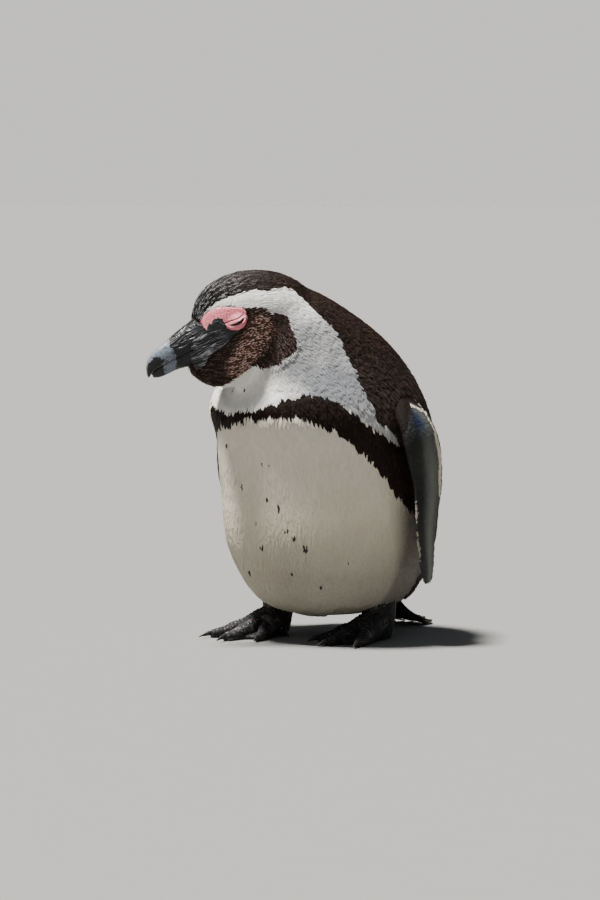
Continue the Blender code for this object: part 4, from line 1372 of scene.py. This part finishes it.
def eyelids(x, y):
    """Over a grid: the slit, the lids' rims, the crease above them and how pale the rims are, whitest by
    the slit as a painted highlight.
    """
    away, share = line_distance(SLIT_LINE, x, y)
    arch = np.sin(math.pi * clamp(share))
    slit = clamp((SLIT_HALF * arch**0.7 - away) / 0.35 + 0.5) * clamp(arch * 9)
    lower_far, lower_share = line_distance(LOWER_LID_LINE, x, y)
    lower = bump_over(lower_far, 1.5 - 0.4 * np.abs(2 * lower_share - 1))
    upper_far, upper_share = line_distance(UPPER_LID_LINE, x, y)
    upper = bump_over(upper_far, 0.95) * clamp(np.sin(math.pi * upper_share) * 4)
    crease = bump_over(line_distance(LID_CREASE, x, y)[0], 0.8)
    pale = clamp(np.where(lower_far < 1.5, 1.0 - away * 0.45, 0.3 * upper)) * lower.clip(0.4)
    return slit, lower, upper, crease, pale


def bare_step():
    return BARE_STEP * 1


def bare_face(trees, word, side, look, eye_look):
    """The bare skin of one cheek: black and wrinkled by the bill, pink round a nearly closed eye."""
    lines = [np.arange(*reach, bare_step()) for reach in (BARE_ALONG, BARE_ABOVE)]
    along, above = np.meshgrid(*lines, indexing="ij")
    cheek, horn_side, base = cheek_surfaces(trees, along, above, side)
    x, y = along * 1000, above * 1000
    wobble = flat_noise(x * 0.55, y * 0.55, side * 5.0)
    grain = flat_noise(x * 1.5, y * 0.9, 2.0) + 0.6 * flat_noise(x * 3.1, y * 2.6, 5.0)
    border = edge_distance(BARE_PATCH, x, y) + wobble * 0.5
    pink_far = edge_distance(PINK_PATCH, x, y) + wobble * 0.9
    pink = clamp(pink_far * 3 + 0.5)
    slit, lower, upper, crease, pale = eyelids(x, y)
    (eye_x, eye_y), (reach_x, reach_y) = EYE_MIDDLE, EYE_REACH
    dome = clamp(1 - np.hypot((x - eye_x) / reach_x, (y - eye_y) / reach_y) ** 2)
    rise = EYE_BULGE * dome**1.3 + 0.0010 * lower + 0.0005 * upper - 0.0007 * crease
    rise = rise - SLIT_DEPTH * slit
    folds = np.sin(x * 2.6 + y * 0.7 + grain * 2.2) * (clamp((y - 8.5) / 3) * clamp((29 - x) / 5))
    pink_relief = (grain * 0.00020 + folds * 0.00016) * (1 - slit) * (1 - lower)
    ridged = clamp((x - 17) / 8) * clamp((5.5 + 0.30 * (x - 16) - y) / 3)
    ridge = wrinkles(along, above) * (0.12 + 0.88 * ridged)
    gape = bump_over(y + np.clip(30 - x, 0, 20) * 0.10, 0.8) * clamp((x - 28) / 8)
    cells = [noise.voronoi(Vector((a / 2.3, b / 2.3, 0)))[0][0] for a, b in zip(x.flat, y.flat)]
    scallop = clamp(0.8 - np.reshape(cells, x.shape)) * bump_over(pink_far + 1.6, 2.6)
    black_relief = (ridge - 0.3) * WRINKLE_DEPTH * 1.2 + grain * 0.00012 - gape * 0.0011 + scallop * 0.0011
    rise = rise + pink * pink_relief + (1 - pink) * (black_relief + 0.0003)
    rise = rise + BARE_LIFT * np.clip(border / 1.2, -1, 1) - 0.0012 * clamp(-border)
    top = from_head(along, (base + rise) * side, above)
    keep = (border > -0.9) & (cheek > -0.015) & (base > horn_side - 0.002)
    mesh, source = sheet_mesh(top, np.array(LEFT) * -side * BARE_THICKNESS, keep, side)
    # Stored for the material: the rims' paleness with its painted highlight, the crease's painted shade
    # with the dark slit, the black skin and its ridges.
    lid = columns(pale * pink, clamp(crease * (1 - lower) + slit) * pink, 1 - pink, clamp(ridge))
    rose = columns(folds * 0.5 + 0.5, np.maximum(lower, upper), pink, pink)
    store(mesh, lid=lid[source], rose=rose[source])
    lids = ["lid_upper_" + word, "lid_lower_" + word]
    finish_piece("bare_skin_" + word, mesh, look, lids[0], *lids)
    eye_ball(word, side, along, above, base, eye_look)


def eye_ball(word, side, along, above, base, look):
    """The eye, seated square to the cheek's surface under the middle of the bulge."""
    node = "eye_" + word
    row = int(np.argmin(np.abs(along[:, 0] * 1000 - EYE_MIDDLE[0])))
    column = int(np.argmin(np.abs(above[0] * 1000 - EYE_MIDDLE[1])))
    reach = int(EYE_SEAT / bare_step())
    run = 2 * reach * bare_step()
    slope_ahead = (base[row + reach, column] - base[row - reach, column]) / run
    slope_up = (base[row, column + reach] - base[row, column - reach]) / run
    out = unit(np.array([-slope_ahead, side, -slope_up]) @ HEAD_TO_BIRD)
    seat = from_head(along[row, column], base[row, column] * side, above[row, column])
    ball = bmesh.new()
    bmesh.ops.create_uvsphere(ball, u_segments=48, v_segments=32, radius=EYE_RADIUS)
    mesh = closed_into(bpy.data.meshes.new("ball"), ball)
    mesh.transform(Matrix.Translation(seat + out * (BARE_LIFT + EYE_BULGE * EYE_OUT - EYE_RADIUS)))
    mesh.shade_smooth()
    finish_piece("eye_ball_" + word, mesh, look, node, node)


def sheet_mesh(top, down, keep, side):
    """A closed thin piece from the kept cells of a grid, and the place in the grid of each point."""
    total = keep.size
    number = np.arange(total).reshape(keep.shape)
    cell = keep[:-1, :-1] & keep[1:, :-1] & keep[1:, 1:] & keep[:-1, 1:]
    corners = (number[:-1, :-1], number[1:, :-1], number[1:, 1:], number[:-1, 1:])
    quads = np.column_stack([corner[cell] for corner in corners])[:, ::side]
    edges = {(quad[k], quad[(k + 1) % 4]): True for quad in quads for k in range(4)}
    walls = [(v, u, u + total, v + total) for u, v in edges if (v, u) not in edges]
    faces = np.vstack([quads, quads[:, ::-1] + total, np.array(walls)])
    used = np.unique(faces)
    place = np.full(total * 2, -1)
    place[used] = np.arange(len(used))
    points = np.vstack([top.reshape(-1, 3), (top + down).reshape(-1, 3)])
    return outward(mesh_from(points[used], place[faces])), used % total


# Flippers


def blade_rings(side, path):
    """Rings of points from the shoulder to the tip, and each point's place and way in the blade.

    A place is the share of the length, then -1 at the rear edge to 1 at the front edge, and -1
    inside to 1 outside. The last two places and ways are those of the middles of both ends.
    """
    line = smooth_curve(path, 90)
    shares = lengths_to(line) / lengths_to(line)[-1]
    fine = smooth_curve(FLIPPER_STATIONS, 80)
    angles = 2 * np.pi * np.arange(48) / 48
    rings = []
    places = []
    ways = []
    for k, share in enumerate(shares):
        thick, front, behind = (np.interp(share, fine[:, 0], sizes) for sizes in fine.T[1:])
        thick = thick - FLIPPER_DEPTH
        ahead = Vector(line[min(k + 1, len(line) - 1)] - line[max(k - 1, 0)]).normalized()
        tuck = math.radians(FLIPPER_TUCK[0] + (FLIPPER_TUCK[1] - FLIPPER_TUCK[0]) * share)
        rear = Vector((-side * math.sin(tuck), math.cos(tuck), 0))
        rear = (rear - ahead * rear.dot(ahead)).normalized()
        out = rear.cross(ahead)
        out *= side * math.copysign(1, out.x)
        ring = []
        for angle in angles:
            run = math.cos(angle)
            chord = run * (front if run > 0 else behind)
            deep = thick * (0.60 + 0.40 * run)
            ring.append(Vector(line[k]) + AXIS - rear * chord + out * deep * math.sin(angle))
            places.append((share, run, math.sin(angle)))
            ways.append(ahead)
        rings.append(ring)
    return rings, np.array(places + [(0, 0, 0), (1, 0, 0)]), np.array(ways + [ways[0], ways[-1]])


def flipper(word, side, path, garden, look):
    """A blade hung from the shoulder, with a coat of small scale-like feathers."""
    node = "flipper_" + word
    rings, blade, ways = blade_rings(side, path)
    mesh = loft(rings)
    cover = np.ones(len(blade))
    store(
        mesh,
        lie=square_to(ways, rows_of(mesh.vertex_normals)),
        blade=blade,
        cover_blade=cover,
        lift=cover,
        coat=columns(*flipper_marks(blade, cover / 2), *BARE_COAT),
        shade=flipper_tones(blade),
    )
    finish_piece("flipper_skin_" + word, mesh, look, node, node)
    coat = grow_feathers(garden, look, mesh, "cover_blade", *FLIPPER_SCALE)
    first = by_feather(coat.attributes["blade"].data)[:, 0]
    tuft = np.random.default_rng(31).random(len(first))
    marks = (*flipper_marks(first, tuft), tuft)
    patch = (np.arctan2(first[:, 2], first[:, 1]) / (2 * np.pi) + 0.5, first[:, 0])
    tones = flipper_tones(first)
    coat_pieces("flipper_coat_" + word, coat, marks, tones, patch, first[:, 0], look, node)


def flipper_marks(blade, tuft):
    """How cream and how brown: cream along part of both edges and inside, brown by the shoulder."""
    share, chord, out = blade.T
    wander = 0.03 * np.sin(share * 37) + 0.05 * (tuft - 0.5)
    width = np.interp(share, (0.10, 0.20, 0.36, 0.50, 0.57), (0.04, 0.07, 0.13, 0.13, 0.0))
    rear = np.abs(chord + wander + 0.82) < width
    shoulder = (chord + wander < 0.20) & (np.abs(share - 0.075 + 0.02 * chord) < 0.011)
    front = (chord - wander > 0.985) & (share > 0.55) & (share < 0.88)
    inner = (out < -0.15) & (chord + wander < 0.70) & (share > 0.10) & (share < 0.95)
    limit = np.interp(chord, (-1.0, 0.1, 0.5, 1.0), (0.090, 0.070, 0.14, 0.24))
    return np.maximum(rear | shoulder | inner, front * 0.35), clamp((limit - share) / 0.03)


def flipper_tones(blade):
    """Painted light and shade on a flipper: a blue highlight at the shoulder, a paler middle and a darker
    front.
    """
    share, chord, _ = blade.T
    blue_sheen = np.exp(-(((share - 0.17) / 0.06) ** 2) - ((chord - 0.15) / 0.40) ** 2)
    lit_middle = np.exp(-(((chord + 0.20) / 0.45) ** 2)) * np.interp(share, (0.1, 0.4, 0.8), (0.2, 0.7, 1.0))
    start = np.interp(share, (0.0, 0.3, 0.5), (0.0, 0.15, 0.35))
    # Painted shade over the front of the blade, weaker towards the tip.
    deep = clamp((chord - start) / 0.3) * np.interp(share, (0.6, 1.0), (1.0, 0.5))
    return columns(blue_sheen, lit_middle, deep, 1)


# Feet


def foot(word, look, claw_look):
    """Scaly webbed skin over the foot: scutes across the toes and pebbles elsewhere."""
    node = "foot_" + word
    mesh = remeshed(merged_copy([node]), FOOT_VOXEL, FOOT_SMOOTHING)
    points = rows_of(mesh.vertices, "co")
    normals = rows_of(mesh.vertex_normals)
    up = clamp(normals[:, 2])
    low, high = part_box(node)
    away = np.hypot(points[:, 0] - (low.x + high.x) / 2, points[:, 1] - (high.y - HEEL_FROM_REAR))
    toe_top = clamp((points[:, 2] - 0.0045) / 0.003)
    wave = np.sin(2 * np.pi * away / SCUTE_LENGTH + ripple(points, 0.006, 6) * 0.8)
    scute = np.clip(wave * 1.6, -1, 0.4) * up * toe_top
    cell = np.array([noise.voronoi(Vector(point) / PEBBLE_SIZE)[0][0] for point in points])
    pebble = (0.45 - np.clip(cell, 0, 0.9)) * (1 - toe_top * up)
    lifted = points + normals * (scute * SCUTE_DEPTH + pebble * PEBBLE_DEPTH)[:, None]
    lifted[:, 2] = np.maximum(lifted[:, 2], 0.0)
    set_points(mesh, lifted)
    mesh.update()
    crease = clamp(-scute) * 0.8 + np.clip(cell - 0.55, 0, 0.4) * (1 - toe_top)
    store(mesh, scute=columns(crease, up * toe_top, up * toe_top, 1))
    mesh.shade_smooth()
    finish_piece("foot_skin_" + word, mesh, look, node, node)
    for number in range(1, 5):
        node = f"claw_{word}_{number}"
        mesh = modified(merged_copy([node]), ("SUBSURF", {"levels": 2, "render_levels": 2}))
        mesh.shade_smooth()
        finish_piece("horn_" + node, mesh, claw_look, node, node)


# Tail


def tail_feather(draw, number, count, height, share_of):
    """One feather of a tier: its points, ring by ring, and the marks stored on them."""
    root = Vector(TAIL_ROOT) + AXIS
    place = 2 * number / (count - 1) - 1 + draw.uniform(-0.05, 0.05)
    turn = math.radians(TAIL_FAN) * place
    way = Vector((math.sin(turn), math.cos(turn), 0))
    across = Vector((way.y, -way.x, 0))
    start = Vector((root.x + 0.010 * place, root.y + 0.002, 0))
    length = TAIL_LENGTH * share_of * (1 - 0.16 * place * place) * draw.uniform(0.96, 1.02)
    width = VANE_WIDTH * draw.uniform(0.9, 1.1)
    lift = 0.0009 * (number % 2)
    bend = draw.uniform(-0.0012, 0.0012)
    tuft = draw.random()
    points = []
    marks = []
    for step in range(VANE_STEPS + 1):
        t = step / VANE_STEPS
        half = width / 2 * (0.45 + 0.55 * math.sin(math.pi * min(1, 0.1 + t * 0.85)) ** 0.7)
        half *= 1 - max(0, (t - 0.82) / 0.18) ** 1.6 * 0.93
        fray = 1 + 0.10 * math.sin(step * 2.4 + number) * t
        level = TAIL_ROOT[2] * (1 - t) ** 1.7 + height + lift * min(1, 2.5 * t) + VANE_CLEAR
        centre = start + way * length * t + across * bend * t * t
        thick = VANE_THICKNESS * (1 - 0.5 * t)
        shaft = SHAFT_HEIGHT * (1 - 0.75 * t)
        rises = ((-1, 0), (-0.5, 0.0002), (0, shaft), (0.5, 0.0002), (1, 0))
        section = [(spot, rise + thick, VANE_TOP) for spot, rise in rises]
        section += [(spot, -0.0001, VANE_UNDERSIDE) for spot in (1, 0, -1)]
        for corner, (spot, rise, least) in enumerate(section):
            up = max(level - VANE_DROOP * spot * spot + rise, least)
            points.append(centre + across * half * spot * fray + Vector((0, 0, up)))
            marks.append((t, spot * 0.5 + 0.5, float(corner == 2), tuft))
    return points, marks


def tail(look):
    """Tiers of stiff narrow feathers that overlap, each with a shaft and a worn point."""
    draw = np.random.default_rng(41)
    points = []
    faces = []
    marks = []
    for count, height, share_of in TAIL_TIERS:
        for number in range(count):
            base = len(points)
            feather, feather_marks = tail_feather(draw, number, count, height, share_of)
            points += feather
            marks += feather_marks
            last = len(points) - 8
            for low in range(base, last, 8):
                for j in range(8):
                    after = (j + 1) % 8
                    faces.append((low + j, low + after, low + 8 + after, low + 8 + j))
            faces.append(tuple(range(base + 7, base - 1, -1)))
            faces.append(tuple(range(last, last + 8)))
    mesh = outward(mesh_from(np.array(points), faces))
    store(mesh, vane=marks)
    finish_piece("tail_feathers", mesh, look, "tail", "tail")


# Stage


def direction(azimuth, elevation):
    """From the bird towards a place round it and above it, in degrees."""
    turn = math.radians(azimuth)
    rise = math.radians(elevation)
    return Vector((math.sin(turn) * math.cos(rise), -math.cos(turn) * math.cos(rise), math.sin(rise)))


def aimed(name, data, aim, way, distance):
    """A lamp or camera that looks at its aim from this way and distance."""
    obj = new_object(name, data)
    obj.location = aim + way * distance
    obj.rotation_mode = "QUATERNION"
    obj.rotation_quaternion = (-way).to_track_quat("-Z", "Y")
    return obj


def stage():
    """The floor, the pale surroundings, the lamps and the camera."""
    corners = np.array([(-1, -1, 0), (1, -1, 0), (1, 1, 0), (-1, 1, 0)]) * FLOOR_HALF
    floor = new_object("floor", mesh_from(corners, [(0, 1, 2, 3)]))
    floor.data.materials.append(pale_floor())
    world = bpy.data.worlds.new("studio")
    world.use_nodes = True
    bpy.context.scene.world = world
    tree = world.node_tree
    where = add_node(tree, "ShaderNodeTexCoord").outputs["Generated"]
    up = add_node(tree, "ShaderNodeSeparateXYZ", {0: where}).outputs["Z"]
    inputs = {"Value": up, "From Min": SKY_CLIMB[0], "From Max": SKY_CLIMB[1]}
    climb = add_node(tree, "ShaderNodeMapRange", inputs).outputs[0]
    inputs = {0: climb, 6: SKYLINE, 7: ROOM_LIGHT}
    sky = add_node(tree, "ShaderNodeMix", inputs, data_type="RGBA").outputs[2]
    feed(tree, tree.nodes["Background"].inputs["Color"], sky)
    for name, kind, turn, rise, distance, size_key, size, power, colour in LAMPS:
        data = bpy.data.lights.new(name, kind)
        setattr(data, size_key, size)
        data.energy = power
        data.color = colour
        aimed(name, data, Vector(LAMP_AIM), direction(CAMERA_AZIMUTH + turn, rise), distance)
    data = bpy.data.cameras.new("camera")
    data.sensor_width = SENSOR
    data.lens = SENSOR * CAMERA_DISTANCE / (PICTURE[1] * METRES_A_PIXEL)
    sideways = (PICTURE[0] / 2 - AXIS_PIXEL[0]) * METRES_A_PIXEL
    height = (AXIS_PIXEL[1] - PICTURE[1] / 2) * METRES_A_PIXEL / math.cos(math.radians(CAMERA_ELEVATION))
    aim = Vector((AXIS.x, AXIS.y, height)) + direction(CAMERA_AZIMUTH + 90, 0) * sideways
    way = direction(CAMERA_AZIMUTH, CAMERA_ELEVATION)
    bpy.context.scene.camera = aimed("camera", data, aim, way, CAMERA_DISTANCE)


def main():
    horn_look = horn()
    bills = [
        bill_half("bill_upper", UPPER_BILL_STATIONS, BILL_GAP / 2, UPPER_PALE, horn_look),
        bill_half("bill_lower", LOWER_BILL_STATIONS, -BILL_GAP / 2, LOWER_PALE, horn_look),
    ]
    feather_look = plumage()
    skin = make_skin(bills)
    garden = feather_garden()
    body_coat(skin, garden, feather_look)
    trees = [tree_of(skin), *bills]
    finish_piece("skin", skin, feather_look, "torso", *FLESH)
    pink = bare_skin()
    eye_look = wet_eye()
    blade_look = flipper_plumage()
    foot_look = scaly_skin()
    claw_look = claw_horn()
    for word, (side, path) in SIDES.items():
        bare_face(trees, word, side, pink, eye_look)
        flipper(word, side, path, garden, blade_look)
        foot(word, foot_look, claw_look)
    tail(tail_plumage())
    garden.clear()
    stage()


main()
